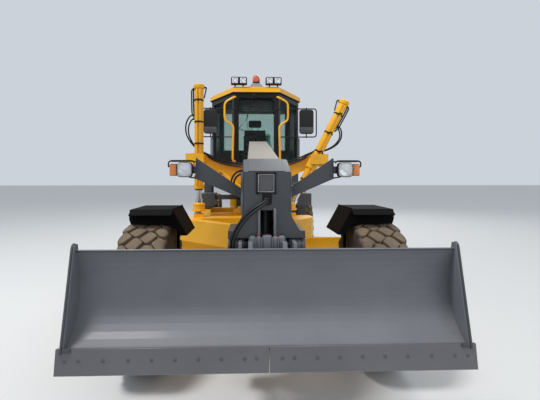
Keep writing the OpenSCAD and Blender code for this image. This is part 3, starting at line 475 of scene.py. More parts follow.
def tyre(name, sign, y):
    """A tyre: its carcass as a revolve of (radius, half width), and four rows of tread blocks."""
    ring = Shape()
    side = [(320, 165), (348, 165), (352, 172), (356, 184), (372, 196), (392, 206), (396, 210), (404, 211),
            (408, 209), (440, 216), (500, 221), (560, 219.5), (598, 215), (622, 207), (634, 190), (640, 165),
            (643, 120), (645, 60)]
    ring.lathe(side + [(r, -h) for r, h in reversed(side)] + side[:1], n=72)
    skew = 0.30 * sign
    middle = [(-80, -16), (-80, 16), (0, 76), (80, 16), (80, -16), (0, -76)]
    outer = [(-80, -16), (-80, 16), (-28, 52), (30, 52), (80, 16), (80, -16), (0, -76)]
    for column, shape, flip in ((-55, middle, 1), (55, middle, 1), (-165, outer, -1), (165, outer, 1)):
        outline = [(u + skew * (w if abs(column) < 100 else w * 0.6), column + flip * w) for u, w in shape]
        late = 0.5 if column in (-165, 55) else 0
        turns = [Matrix.Rotation(math.tau * (k + late) / BLOCKS, 4, "Z") for k in range(BLOCKS)]
        ring.add(tread_block(outline), *turns)
    on_wheel(ring, sign, y).done(f"tyre_{name}", "tyre", body=f"wheel_{name}", over=[f"tyre_{name}"], crease=40)


def wheel_fittings(name, sign, y):
    """Studs and nuts of a wheel, the hub's cap and the valve."""
    parts = Shape()
    ring = [(a, b, 92) for a, b in around(12, 155)]
    parts.bolts(ring, (0, 0, 1), 15, 14)
    for x, z, h in ring:
        parts.rod((x, z, h), (x, z, h + 26), 8, n=12, edge=1.5)
    cap = [(0, 212), (34, 211), (44, 204), (48, 190), (62, 190), (66, 187), (66, 180), (0, 180), (0, 212)]
    parts.lathe(cap)
    parts.bolts([(a, b, 190) for a, b in around(8, 90, 0.5)], (0, 0, 1), 10, 9)
    parts.tube([(262, 30, 106), (272, 30, 128), (300, 34, 140)], 5, 8, 15)
    on_wheel(parts, sign, y).done(f"wheel_nuts_{name}", "bare_steel", body=f"wheel_{name}")
    lip = Shape()
    lip.lathe([(299, 126), (306, 128), (309, 134), (309, 150), (303, 158), (296, 158), (294, 134), (299, 126)],
              n=64)
    lip.lathe([(230, 109), (236, 110), (238, 116), (226, 114), (230, 109)], n=64)
    on_wheel(lip, sign, y).done(f"rim_ring_{name}", "rim_yellow", body=f"wheel_{name}")


# Front blade
EDGE_BOLTS = [86, 165, 318, 470, 622, 774, 926, 1089, 1248, 1335]


def dozer():
    """The front blade's two cutting edges with their bolts, its rim and the end plates' flanges."""
    low_y, foot = -1270, 500
    edge = Shape()
    for x in (-1400, 2):
        edge.plate([(low_y - 29.9, foot + 2), (low_y - 9, foot + 2), (low_y + 21, 663), (low_y - 1.5, 663)], "x", x,
                   1398, 2)
    edge.done("dozer_cutting_edge", "edge_grey", "bare_steel", body="dozer_blade")
    bolts = Shape()
    slope = Vector((0, -162, 30)).normalized()
    bolt_y = low_y - 30 + (590 - foot) * 30 / 162 - 1.5
    for s in (-1, 1):
        for x in EDGE_BOLTS:
            bolts.lathe([(0, -1), (12.5, -1), (12.5, 0.7), (10, 1.3), (9, 0.3), (8, 0.3), (6, 2.2), (0, 2.8)],
                        (s * x, bolt_y, 590), slope, 20)
    bolts.done("dozer_edge_bolts", "cast_iron", body="dozer_blade")
    # Rolled rim along the top, the end plates' flanges and their gussets
    trim = Shape()
    trim.box((-1352, 1352), (-1083, -1062), (1262, 1274), 3)
    for s in (-1, 1):
        x = s * 1366
        trim.tube([(x, -1280, 632), (x, -1098, 1316), (x, -1042, 1316), (x, -1010, 1220), (x, -985, 1000),
                   (x, -1040, 760), (x, -1120, 660)], 9, 8, 40)
        trim.box(sorted((s * 1300, s * 1352)), (-1284, -1262), (640, 668), 4)
    trim.done("dozer_trim", "dark_grey_paint", body="dozer_blade")
    Shape().bolts([(s * x, low_y + 9, 600) for s in (-1, 1) for x in EDGE_BOLTS], (0, 1, -0.18), 13, 13).done(
        "dozer_edge_nuts", "cast_iron", body="dozer_blade")


def bracket():
    """The nose bracket's badge recess, hose slot, strips and ribs, and the front blade's upper pins before it."""
    y = -910
    # The recess has two frames, one in the other
    for name, finish, x0, x1, z0, z1, bar, out, edge in (
            ("badge_frame", "black_plastic", -82, 70, 1662, 1826, 16, 14, 3),
            ("badge_edge", "bare_steel", -68, 56, 1676, 1812, 6, 12, 2)):
        frame = Shape()
        for x, z in (((x0, x0 + bar), (z0, z1)), ((x1 - bar, x1), (z0, z1)),
                     ((x0, x1), (z1 - bar, z1)), ((x0, x1), (z0, z0 + bar))):
            frame.box(x, (y - out, y), z, edge)
        frame.done(name, finish)
    Shape().box((-66, 54), (y - 5, y), (1678, 1810), 2).done("badge_plate", "cast_iron")
    trim = Shape()
    trim.tube([(34, y - 2, 1690), (34, y - 2, 1592), (22, y - 2, 1580), (-30, y - 2, 1580), (-36, y - 2, 1600)],
              5, 8, 14)
    trim.box((-29, 33), (y + 2, y + 6), (1592, 1660))
    trim.done("hose_slot_trim", "black_plastic")
    plates = Shape()
    # Side plates' outer strips, wider than the front plate, and the cap's raised middle
    for s in (-1, 1):
        plates.plate([(-905, 1500), (-905, 1826), (-620, 1928), (-420, 1928), (-420, 1500)], "x",
                     176 if s > 0 else -182, 6, 2)
        plates.plate([(s * 175, y + 20), (s * 198, y + 90), (s * 198, -420), (s * 181, -420), (s * 181, y + 30)], "z",
                     1500, 326, 3)
    plates.plate([(-906, 1832), (-622, 1937), (-622, 1941), (-908, 1836)], "x", -140, 280, 1.5)
    plates.done("bracket_plates", "dark_grey_paint")
    ribs = Shape()
    for x in (-60, 60):
        ribs.box(span(x, 10), (y - 27, y), (1336, 1554), 7, 3)
    ribs.done("bracket_ribs", "blade_grey", "dark_grey_paint")
    # Row of bosses at the blade's upper pin: flanges, end collars and the grease nipples on top
    bosses = Shape()
    for half, x0, z1 in ((26, -110, 1352), (20, -62, 1350), (36, 0, 1358), (20, 62, 1350), (26, 110, 1352)):
        bosses.box(span(x0, half), (-968, -914), (1214, z1), 15, 3)
    for x in (-84, -40, 40, 84):
        bosses.box(span(x, 5), (-974, -916), (1208, 1340), 4)
    bosses.done("pin_bosses", "blade_grey", "dark_grey_paint", body="dozer_blade")
    caps = Shape()
    for x in (-74, 0, 74):
        caps.rod((x, -936, 1344), (x, -938, 1366), 7, 5, n=12, edge=1.5)
    caps.done("grease_caps", "red_plastic", "black_plastic", body="dozer_blade")
    pin_y, pin_z = -840, 1270
    rings = Shape()
    for x in (-268, -205, -150, -110, -96, -40, 40, 96, 110, 150, 205, 268):
        rings.lathe([(49, -4), (55, -4), (57, 0), (55, 4), (49, 4), (49, -4)], (x, pin_y, pin_z), (1, 0, 0), 28)
    for s in (-1, 1):
        rings.rod((s * 170, pin_y, pin_z), (s * 186, pin_y, pin_z), 38, n=24, edge=3)
    rings.done("pin_rings", "worn_steel", "bare_steel", body="dozer_blade")
    sleeves = Shape()
    for s in (-1, 1):
        for x0, x1 in ((173, 201), (209, 264)):
            sleeves.rod((s * x0, pin_y, pin_z), (s * x1, pin_y, pin_z), 53, n=28, edge=3)
    sleeves.done("pin_sleeves", "blade_grey", "dark_grey_paint", body="dozer_blade")


HOSES = [
    # name, radius, path
    ("bracket_hose_a", 9.5,
     [(-6, -895, 1640), (-10, -930, 1608), (-60, -944, 1582), (-140, -946, 1528), (-215, -944, 1440),
      (-262, -936, 1350), (-276, -922, 1245), (-270, -900, 1150)]),
    ("bracket_hose_b", 9.5,
     [(8, -895, 1640), (4, -934, 1600), (-50, -966, 1566), (-130, -968, 1508), (-200, -966, 1420),
      (-242, -958, 1335), (-254, -944, 1240), (-252, -910, 1150)]),
    ("neck_hose_a", 9,
     [(-178, -440, 1850), (-240, -452, 1836), (-286, -470, 1780), (-286, -480, 1690), (-240, -470, 1610),
      (-178, -450, 1580)]),
    ("neck_hose_b", 9,
     [(-178, -470, 1820), (-228, -482, 1808), (-262, -496, 1762), (-262, -504, 1700), (-226, -494, 1636),
      (-178, -480, 1610)]),
    ("left_loop_a", 10,
     [(-878, 1672, 2650), (-935, 1660, 2640), (-996, 1662, 2540), (-1004, 1690, 2400), (-955, 1760, 2290),
      (-890, 1860, 2205), (-800, 1896, 2150)]),
    ("left_loop_b", 10,
     [(-876, 1700, 2600), (-922, 1700, 2590), (-966, 1705, 2500), (-972, 1730, 2390), (-930, 1790, 2280),
      (-866, 1880, 2190), (-780, 1892, 2120)]),
]
for s, side in SIDES:
    for k, (dz, start) in enumerate(((16, 830), (-8, 780), (-32, 720))):
        path = [(start, 1894, 2150), (700, 1890, 2098), (590, 1888, 2044), (450, 1886, 1998), (300, 1886, 1974),
                (205, 1870, 1966), (152, 1840, 1950)]
        HOSES.append((f"saddle_hose_{side}_{k}", 9.5, [(s * x, y, z + dz) for x, y, z in path]))


def lift_cylinders():
    """Rings, wipers, pipes, clips, hoses and ball caps of the lift cylinders. up(d) is the place d above the ball."""
    for (s, name), body, ball, pin in zip(SIDES, ("front_frame", "lift_cylinder_right"), BALLS, PINS):
        axis = (pin - ball).normalized()
        front = Vector((0, -1, 0))
        side = axis.cross(front).normalized()

        def up(d):
            return ball + axis * d

        rings = Shape()
        for d in (286, 1672):
            rings.lathe([(60, 0), (73, 0), (75, 3), (75, 52), (72, 56), (60, 56), (60, 0)], up(d), axis, 32)
        rings.lathe([(0, 1718), (58, 1718), (62, 1722), (62, 1730), (50, 1738), (0, 1738)], ball, axis, 32)
        rings.lathe([(60, 640), (80, 640), (83, 644), (83, 744), (80, 748), (60, 748), (60, 640)], ball, axis, 32)
        for d in (288, 336):
            for a, b in around(6, 1, 0.5):
                p = up(d) + (side * a + front * b) * 74
                rings.rod(p - axis * 2, p + axis * 9, 8, n=6)
        rings.done(f"lift_rings_{name}", "yellow_paint", body=body)
        Shape().lathe([(38.5, 268), (52, 268), (56, 274), (56, 286), (38.5, 286), (38.5, 268)], ball, axis, 28).done(
            f"rod_wiper_{name}", "black_plastic", body=body)
        pipes = Shape()
        for off in (-22, 22):
            base = front * 80 + side * off
            pipes.tube([up(330) + front * 60 + side * off, up(345) + base, up(690 + off) + base,
                        up(690 + off) + front * 60 + side * off], 8, 8, 14)
            pipes.tube([up(1660) + front * 56 + side * off, up(1640) + base, up(760 + off) + base], 8, 8, 14)
        pipes.done(f"lift_pipes_{name}", "yellow_paint", body=body)
        clips = Shape()
        for d in (450, 900, 1200, 1500):
            clips.lathe([(62.5, 0), (66, 0), (66, 22), (62.5, 22), (62.5, 0)], up(d), axis, 28)
            p = up(d + 11) + front * 78
            clips.box(span(p.x, 40), (p.y - 14, p.y + 12), span(p.z, 11), 3)
        clips.done(f"pipe_clips_{name}", "black_plastic", body=body)
        # Hoses from the barrel's top end down its outer side
        outer = Vector((s, 0, 0))
        outer = (outer - axis * outer.dot(axis)).normalized()
        lines = Shape()
        for k, (foot, near) in enumerate(((1320, 78), (1270, 100))):
            away = outer * near - front * (8 - 26 * k)
            lines.tube([up(1676) + outer * 62, up(1660) + away, up(1560) + away, up(foot + 60) + away * 0.96,
                        up(foot) + outer * 66], 10, 10, 50)
            lines.rod(up(1676) + outer * 58, up(1672) + outer * 80, 15, n=6, edge=1)
        lines.rod(up(1690) - outer * 56, up(1690) - outer * 96, 13, n=12, edge=2)
        lines.tube([up(1690) - outer * 86, up(1690) - outer * 104, up(1600) - outer * 84,
                    up(1540) - outer * 70], 9, 10, 26)
        lines.done(f"barrel_hoses_{name}", "hose", "black_plastic", body=body)
        # Ball cap under the rod, with its bolts
        cap = Shape()
        cap.lathe([(72.5, -20), (96, -20), (99, -16), (99, -2), (82, 4), (82, 60), (86, 64), (84, 84), (60, 96),
                   (60, 80), (72.5, 60), (72.5, -20)], ball, (0, 0, 1), 36)
        cap.bolts([(ball.x + a, ball.y + b, ball.z - 2) for a, b in around(8, 90, 0.5)], (0, 0, 1), 9, 9)
        cap.done(f"ball_cap_{name}", "yellow_paint", body=f"lift_rod_{name[0]}")


def hose(name, r, points, body="front_frame", reach=70):
    """A rubber hose along a path, with a sleeve and a nut at each end."""
    shape = Shape()
    shape.tube(bend(points, reach, 6), r, 10)
    ends = [Vector(p) for p in points]
    for p, q in ((ends[0], ends[1]), (ends[-1], ends[-2])):
        d = (q - p).normalized()
        shape.rod(p - d * 4, p + d * 34, r * 1.35, n=12, edge=1.5)
        shape.rod(p - d * 4, p + d * 10, r * 1.7, n=6, edge=1)
    return shape.done(name, "hose", "black_plastic", body=body)


def right_loops():
    """The two hoses from the right lift cylinder, which swings, to the saddle, which doesn't."""
    for name, dx in (("right_loop_a", 0), ("right_loop_b", -26)):
        points = [(1118 + dx, 1799, 2520 + dx * 1.9), (1168 + dx, 1792, 2512), (1208 + dx, 1800, 2430 + dx),
                  (1196 + dx, 1818, 2320), (1120 + dx, 1850, 2232), (1010 + dx, 1880, 2178), (900 + dx, 1894, 2150)]
        piece = hose(name, 10, points, None)
        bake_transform(piece)


def soft_square(x, z, wide, high, corner, n=5):
    """The outline of a rectangle with round corners, in X and Z, from its middle and half its sides."""
    outline = []
    for cx, cz, first in ((1, 1, 0), (-1, 1, 90), (-1, -1, 180), (1, -1, 270)):
        for k in range(n):
            a = math.radians(first + 90 * k / (n - 1))
            outline.append((x + cx * (wide - corner) + corner * math.cos(a),
                            z + cz * (high - corner) + corner * math.sin(a)))
    return outline


def lamps():
    """Headlamps with their bowls, lenses, signals, guards and cables, and the lamp arms' bolts."""
    y, z = -679, 1848
    for s, name in SIDES:
        x, signal_x = s * 652, s * 746
        housing = Shape()
        housing.plate(soft_square(x, z, 61, 60, 27), "y", y - 2, 50, 4, 2)
        housing.box(sorted((s * 704, s * 722)), (-651, -634), (1826, 1870), 2)
        housing.plate(soft_square(signal_x, z, 31, 48, 10), "y", -658, 40, 3, 2)
        housing.bolts([(s * 592, -630, 1864), (s * 592, -630, 1832)], (0, -1, 0), 8, 8)
        housing.done(f"headlamp_housing_{name}", "black_plastic")
        bowl = Shape()
        bowl.lathe([(0, -2), (18, -1), (34, 3), (46, 9), (50, 14), (46, 14), (32, 7), (0, 2), (0, -2)], (x, y - 2, z),
                   (0, -1, 0), 36)
        bowl.box(span(x, 44), (y - 9, y - 3), span(z, 3), 1)
        bowl.done(f"headlamp_bowl_{name}", "chrome_rod")
        Shape().lathe([(0, 0), (13, 0), (15, 4), (13, 10), (7, 13), (0, 14), (0, 0)], (x, y - 4, z), (0, -1, 0),
                      20).done(f"headlamp_bulb_{name}", "lamp_white", "lens")
        Shape().plate(soft_square(x, z, 56, 55, 25), "y", y - 22, 20, 7, 3).done(
            f"headlamp_lens_{name}", "lens", over=["lamp_lenses"] if s > 0 else [])
        signal = Shape()
        signal.plate(soft_square(signal_x, z, 27, 44, 9), "y", -670, 13, 5, 2)
        for k in range(-3, 4):
            signal.box(span(signal_x, 22), (-672, -668), span(z + k * 11, 2), 1)
        signal.done(f"signal_{name}", "orange_lens", "lens")
        Shape().tube([(s * 580, -640, 1906), (s * 584, -674, 1922), (s * 770, -674, 1922), (s * 788, -660, 1900),
                      (s * 786, -640, 1872)], 6, 8, 24).done(f"lamp_guard_{name}", "black_plastic")
        arm = Shape()
        arm.bolts([(s * 212, -608, 1668), (s * 212, -608, 1640), (s * 246, -608, 1684), (s * 553, -608, 1908),
                   (s * 553, -608, 1800)], (0, -1, 0), 9, 8)
        arm.tube([(s * 176, -600, 1676), (s * 570, -600, 1944)], 5, 8)
        arm.done(f"lamp_arm_bolts_{name}", "dark_grey_paint")
        Shape().tube([(s * 652, -628, 1820), (s * 640, -596, 1790), (s * 560, -588, 1780), (s * 330, -586, 1700),
                      (s * 190, -586, 1640)], 6, 8, 40).done(f"lamp_cable_{name}", "hose", "black_plastic")


def seal_path(p, q, d, z0, z1):
    """A closed path round a window that stands on the line from p to q, which runs along d."""
    low, high = Vector((0, 0, z0)), Vector((0, 0, z1))
    return [p + low + d * 60, p + low, p + high, q + high, q + low, p + low + d * 60]


def cab():
    """Window and door seals, ceiling with louvres, wiper, gutter and door pulls."""
    corners = [Vector((x, y, 0)) for x, y in CAB]
    seals = Shape()
    for i, sill in ((0, 1860), (2, 2320), (4, 1860), (5, 1960)):
        a, b = corners[i], corners[(i + 1) % 6]
        d = (b - a).normalized()
        inward = Vector((-d.y, d.x, 0))
        c0, c1 = a + d * 72 + inward * 14, b - d * 72 + inward * 14
        seals.tube(seal_path(c0, c1, d, sill + 4, HEAD - 4), 9, 8, 50)
    seals.done("window_seals", "black_plastic")
    roof_liner = Shape()
    inner = [(p.x * 0.86, 3540 + (p.y - 3540) * 0.88) for p in corners]
    roof_liner.plate(inner, "z", 3060, 44, 10, 2)
    # Louvred band behind the top of the front window
    roof_liner.box((-322, 322), (2836, 2858), (2872, 3104), 8)
    roof_liner.done("ceiling", "black_plastic")
    louvres = Shape()
    for k in range(7):
        z = 2890 + 30 * k
        louvres.box((-318, 318), (2816, 2838), (z, z + 10), 2, turn=("X", -24))
    louvres.done("ceiling_louvres", "dark_grey_paint")
    wiper = Shape()
    y = CAB[0][1] + 10
    wiper.box((-78, -12), (y - 30, y + 2), (3122, 3168), 6)
    wiper.tube([(-44, y - 34, 3146), (-96, y - 38, 2980), (-146, y - 34, 2780), (-162, y - 28, 2738)], 6, 8)
    wiper.tube([(-62, y - 34, 3140), (-112, y - 38, 2976), (-158, y - 34, 2780)], 4, 6)
    wiper.tube([(-286, y - 20, 2596), (-162, y - 26, 2740), (-124, y - 20, 2512)], 6, 8)
    wiper.tube([(-286, y - 14, 2596), (-124, y - 14, 2512)], 5, 6)
    wiper.done("wiper", "black_plastic")
    drip = Shape()
    for a, b in zip(corners, corners[1:] + corners[:1]):
        d = (b - a).normalized()
        out = Vector((d.y, -d.x, 0))
        drip.tube([a + out * 22 + Vector((0, 0, 3186)) - d * 12, b + out * 22 + Vector((0, 0, 3186)) + d * 12], 9, 8)
    drip.done("roof_gutter", "black_plastic")
    for s, name in SIDES:
        a, b = Vector((s * CAB[1][0], CAB[1][1], 0)), Vector((s * CAB[2][0], CAB[2][1], 0))
        d = (b - a).normalized()
        out = Vector((s * abs(d.y), abs(d.x), 0)).normalized()
        bar = Shape()
        foot0, foot1 = a + d * 128 + Vector((0, 0, 2060)), a + d * 128 + Vector((0, 0, 2520))
        bar.tube([foot0, foot0 + out * 46, foot1 + out * 46, foot1], 11, 10, 30)
        bar.box(span(foot0.x, 16), span(foot0.y, 40), (2590, 2650), 6)
        bar.done(f"door_pull_{name}", "black_plastic", body=f"door_{name}")
        seal = Shape()
        e0, e1 = a + d * 140 + out * -10, b - d * 140 + out * -10
        seal.tube(seal_path(e0, e1, d, 1994, HEAD - 76), 9, 8, 60)
        seal.done(f"door_seal_{name}", "black_plastic", body=f"door_{name}")


def roof_lamps():
    """Two lamps in a black housing on each side, and the beacon on its bracket. z0 is the roof's top."""
    z0 = 3285
    y = 2700
    lamp_x = [s * 285 + dx for s in (-1, 1) for dx in (-66, 66)]
    black = Shape()
    for s in (-1, 1):
        x = s * 285
        black.plate([(x - 132, z0 + 26), (x - 132, z0 + 138), (x - 118, z0 + 152), (x + 118, z0 + 152),
                     (x + 132, z0 + 138), (x + 132, z0 + 26)], "y", y - 2, 78, 6, 2)
        for dx in (-66, 66):
            black.box(span(x + dx, 60), (y - 14, y), (z0 + 32, z0 + 144), 8)
            black.rod((x + dx, y + 76, z0 + 88), (x + dx, y + 96, z0 + 88), 40, 22, n=20, edge=3)
            black.rod((x + dx, y + 40, z0), (x + dx, y + 40, z0 + 30), 12, n=14, edge=2)
    black.rod((0, 2835, z0 + 62), (0, 2835, z0 + 90), 64, n=32, edge=5)
    black.done("roof_lamp_housings", "black_plastic", over=["roof_lamps"])
    glass = Shape()
    for x in lamp_x:
        glass.box(span(x, 48), (y - 20, y - 12), (z0 + 44, z0 + 132), 7)
    glass.done("roof_lamp_lenses", "lamp_white", "lens")
    rings = Shape()
    for x in lamp_x:
        rings.lathe([(30, 18), (34, 18), (35, 22), (33, 24), (30, 22), (30, 18)], (x, y - 2, z0 + 88), (0, -1, 0), 28)
    rings.done("roof_lamp_rings", "bare_steel")
    plate = Shape()
    plate.box((-132, 132), (2770, 2900), (z0, z0 + 8), 2)
    plate.plate([(-120, z0 + 6), (-70, z0 + 58), (70, z0 + 58), (120, z0 + 6)], "y", 2776, 8, 2)
    plate.box((-72, 72), (2776, 2896), (z0 + 54, z0 + 64), 3)
    plate.done("beacon_bracket", "bare_steel")
    Shape().lathe([(0, 88), (58, 88), (61, 94), (61, 138), (57, 168), (46, 192), (26, 208), (0, 214)], (0, 2835, z0),
                  (0, 0, 1), 40).done("beacon_dome", "beacon_lens", "lens")


def mirrors():
    """Mirrors: tube frames, housings with rounded corners, lower covers, glass and clamps, and a small one."""
    y = CAB[0][1] - 45
    low, middle, high = 2450, 2698, 2915
    black, glass, lower = Shape(), Shape(), Shape()
    for s, x0, x1, end in ((-1, 640, 860, 900), (1, 710, 940, 990)):
        x = s * (x0 + x1) / 2
        half = (x1 - x0) / 2
        outline = soft_square(x, middle, half + 2, 200, 44, 6)
        black.plate(outline, "y", y - 27, 40, 9, 3)
        small = [(x + (a - x) * 0.9, middle + (b - middle) * 0.94) for a, b in outline]
        glass.plate(small, "y", y + 12, 4, 1)
        lower.box((x - half + 7, x + half - 7), (y - 31, y - 20), (2506, 2610), 5)
        for z in (low, high):
            black.box(span(x, 15), span(y, 16), span(z, 15), 4, turn=("Y", 45))
        for z in (2560, 2830):
            black.box(span(x, 24), (y + 2, y + 28), span(z, 18), 5)
        black.rod((x, y + 10, low), (x, y + 10, high), 9, n=14)
        foot = CAB[0][1] - 15
        black.tube([(s * 350, foot, low), (s * end, y, low), (s * end, y, high), (s * 350, foot, high)], 10, 12, 50)
        for z in (low, high):
            black.box(sorted((s * 325, s * 365)), (foot - 2, CAB[0][1]), span(z, 25), 3)
    # A narrow second mirror on the right, on a rod between the frame's tubes
    black.rod((654, y, 2452), (654, y, 2913), 7, n=12)
    black.plate(soft_square(654, 2684.5, 24, 129.5, 10, 2), "y", y - 22, 30, 5, 2)
    black.done("mirror_housings", "black_plastic", over=["mirrors"])
    lower.done("mirror_lower_covers", "dark_grey_paint")
    glass.done("mirror_glass", "mirror", "glass")


def swollen(shape, cap):
    """Blows up soft closed shells by cloth simulation, no point moving further than cap metres."""
    mesh = bpy.data.meshes.new("pad_form")
    bm = shape.in_metres()
    bm.to_mesh(mesh)
    bm.free()
    form = new_object("pad_form", mesh)
    remesh = form.modifiers.new("even", "REMESH")
    remesh.mode = "VOXEL"
    remesh.voxel_size = 0.007
    apply_all(form)
    before = [v.co.copy() for v in form.data.vertices]
    cloth = form.modifiers.new("air", "CLOTH")
    cloth.settings.use_pressure = True
    cloth.settings.uniform_pressure_force = 4
    cloth.settings.effector_weights.gravity = 0
    cloth.point_cache.frame_start, cloth.point_cache.frame_end = 1, 20
    for step in range(1, 21):
        SCENE.frame_set(step)
    apply_all(form)
    SCENE.frame_set(1)
    for v, old in zip(form.data.vertices, before):
        move = v.co - old
        if move.length > cap:
            v.co = old + move.normalized() * cap
    return form


def apply_all(obj):
    """Puts what the modifiers make into the mesh itself."""
    bpy.context.view_layer.update()
    shown = obj.evaluated_get(bpy.context.evaluated_depsgraph_get())
    mesh = bpy.data.meshes.new_from_object(shown)
    obj.modifiers.clear()
    obj.data = mesh


def seat():
    """Seat cushion, backrest and headrest, with sewn channels and piping."""
    pads = Shape()
    pads.box((-236, 236), (3344, 3816), (2092, 2190), 34, 4)
    pads.box((-216, 216), (3838, 3908), (2218, 2716), 30, 4, turn=("X", -18.3))
    pads.box((-122, 122), (3956, 4016), (2752, 2898), 26, 4, turn=("X", -12))
    form = swollen(pads, 0.010)
    bm = bmesh.new()
    bm.from_mesh(form.data)
    bpy.data.objects.remove(form)
    bmesh.ops.recalc_face_normals(bm, faces=bm.faces)
    bm.normal_update()
    base, back = Vector((0, 3785, 2200)), Vector((0, 0.313, 0.950))
    channel, spacing = 150, 90
    for v in bm.verts:
        x, y, z = v.co.x * 1000, (v.co.y - AXLE_Y) * 1000, v.co.z * 1000
        if z < 2206 and v.normal.z > 0.3:
            along = y - 3344
        elif 2206 < z < 2740 and v.normal.y < -0.3:
            along = (Vector((0, y, z)) - base).dot(back)
        else:
            continue
        deep = 6 * math.exp(-((abs(x) - channel) / 8) ** 2)
        if abs(x) < channel:
            deep = max(deep, 5 * math.exp(-(((along + spacing / 2) % spacing - spacing / 2) / 7) ** 2))
        v.co -= v.normal * deep * 0.001
    finished(bm, "seat_pads", "seat_fabric", "front_frame", ["seat"])
    trim = Shape()
    for z in (2124, 2160):
        trim.tube([(0, 3340, z), (-238, 3340, z), (-238, 3820, z), (238, 3820, z), (238, 3340, z), (0, 3340, z)],
                  4, 6, 34)
    for x in (-60, 60):
        trim.rod((x, 3962, 2700), (x, 3992, 2800), 7, n=12)
    for x in (-238, 238):
        trim.box(span(x, 12), (3600, 3800), (2010, 2074), 12)
    trim.done("seat_trim", "black_plastic")


def controls():
    """Knobs on the levers, the steering wheel's rim and cap, and the dash with its dials."""
    knobs = Shape()
    lean = (0, -0.14, 1)
    for s in (-1, 1):
        for k in range(4):
            x = s * (134 + 24 * k)
            knobs.lathe([(0, -6), (8, -4), (13, 4), (14, 14), (10, 24), (0, 28)], (x, 3060, 2472), lean, 14)
            knobs.lathe([(7, 0), (12, 4), (9, 10), (11, 16), (7, 22), (7, 0)], (x, 3100, 2200), lean, 12)
    cap = Shape()
    cap.lathe([(0, 30), (30, 29), (42, 22), (46, 12), (46, -14), (30, -20)], (0, 3170, 2440), (0, 0, 1), 28)
    for a, b in around(40, 1):
        cap.rod((180 * a - 4 * b, 3170 + 180 * b + 4 * a, 2440), (180 * a + 4 * b, 3170 + 180 * b - 4 * a, 2440),
                15.2, n=10)
    tilt = Matrix.Rotation(math.radians(-35), 4, "X")
    knobs.add(cap, Matrix.Translation((0, 3170, 2440)) @ tilt @ Matrix.Translation((0, -3170, -2440)))
    knobs.box((-92, 92), (3020, 3070), (2290, 2382), 12, turn=("X", -20))
    knobs.done("lever_knobs", "black_plastic")
    dials = Shape()
    for x in (-54, 0, 54):
        dials.lathe([(0, 0), (20, 0), (22, 2), (24, 5), (20, 6), (18, 3), (0, 3), (0, 0)], (x, 3072, 2342),
                    (0, 0.94, 0.34), 24)
    dials.done("dash_dials", "bare_steel")


def fender_fronts():
    """Front panels of the two fenders, their rolled edges and bolts."""
    for s, side in SIDES:
        panel = Shape()
        outline = [(1240, 1484), (843, 1484), (709, 1243), (772, 1243), (846, 1352), (1232, 1352), (1246, 1400)]
        panel.plate([(s * x, z) for x, z in outline], "y", -158, 7, 2)
        panel.tube([(s * 1230, -154, 1352), (s * 846, -154, 1352), (s * 772, -154, 1245)], 6, 8)
        panel.tube([(s * 843, -150, 1490), (s * 843, 418, 1490)], 5, 8)
        panel.bolts([(s * 852, -158, 1460), (s * 935, -158, 1460), (s * 1190, -158, 1440)], (0, -1, 0), 9, 7)
        panel.done(f"fender_front_{side}", "fender_black", "black_paint", body=f"steer_knuckle_{side}")


def hood_trim():
    """Seams, latches, rails, the radiator's fins and guard, the exhaust's shield and the rear lamps."""
    side, guard_y, lamp_x, stack_at = 519, 7612, 440, (330, 5500)
    seams = Shape()
    for s in (-1, 1):
        x = sorted((s * side, s * (side + 4)))
        for y in (5050, 6220, 7300):
            seams.box(x, span(y, 3), (1165, 2020), 1)
        seams.box(x, (4740, 7600), (1248, 1254), 1)
    seams.done("hood_seams", "black_plastic", body="rear_body")
    latches = Shape()
    for s in (-1, 1):
        for y in (5080, 6020, 6420, 7230):
            latches.box(sorted((s * side, s * (side + 15))), span(y, 30), (1280, 1312), 6)
            latches.rod((s * (side + 15), y + 14, 1296), (s * (side + 21), y + 14, 1296), 10, n=14, edge=2)
    latches.done("hood_latches", "black_plastic", body="rear_body")
    rails = Shape()
    for s in (-1, 1):
        x = s * 480
        rails.tube([(x, 4900, 2120), (x, 4900, 2268), (x, 7300, 2150), (x, 7300, 2000)], 14, 10, 60)
        for y in (5600, 6400):
            z = 2268 - (y - 4900) * 118 / 2400
            rails.tube([(x, y, 2080), (x, y, z)], 12, 10)
    rails.done("hood_rails", "yellow_paint", body="rear_body")
    fins = Shape()
    for k in range(44):
        x = -415 + k * 19.3
        fins.box(span(x, 3), (7440, 7472), (1190, 1960))
    for z in (1190, 1572, 1950):
        fins.box((-430, 430), (7436, 7476), span(z, 9), 3)
    fins.done("radiator_fins", "black_plastic", body="rear_body")
    guard = Shape()
    for k in range(9):
        z = 1200 + k * 94
        guard.tube([(-488, guard_y, z), (488, guard_y, z)], 9, 8)
    for x in (-488, -163, 163, 488):
        guard.tube([(x, guard_y, 1190), (x, guard_y, 1965)], 11, 8)
    guard.done("rear_guard", "black_paint", body="rear_body")
    stack = Shape()
    stack.lathe([(61, 0), (70, 0), (74, 6), (74, 18), (61, 22), (61, 0)], (*stack_at, 2214), (0, 0, 1), 32)
    stack.lathe([(61, 0), (76, 8), (80, 20), (80, 300), (76, 312), (61, 320), (61, 0)], (*stack_at, 2250),
                (0, 0, 1), 36)
    stack.tube([(*stack_at, 2690), (*stack_at, 2740), (stack_at[0], stack_at[1] + 60, 2766)], 52, 24, 40)
    stack.done("exhaust_shield", "dark_grey_paint", body="rear_body")
    lamp, box = Shape(), Shape()
    for x in (-lamp_x, lamp_x):
        lamp.box(span(x, 34), (7858, 7886), (1302, 1378), 8)
        box.box(span(x, 44), (7858, 7872), (1292, 1388), 6)
    lamp.done("tail_lamps", "red_lens", "lens", body="rear_body")
    box.done("tail_lamp_boxes", "black_plastic", body="rear_body")


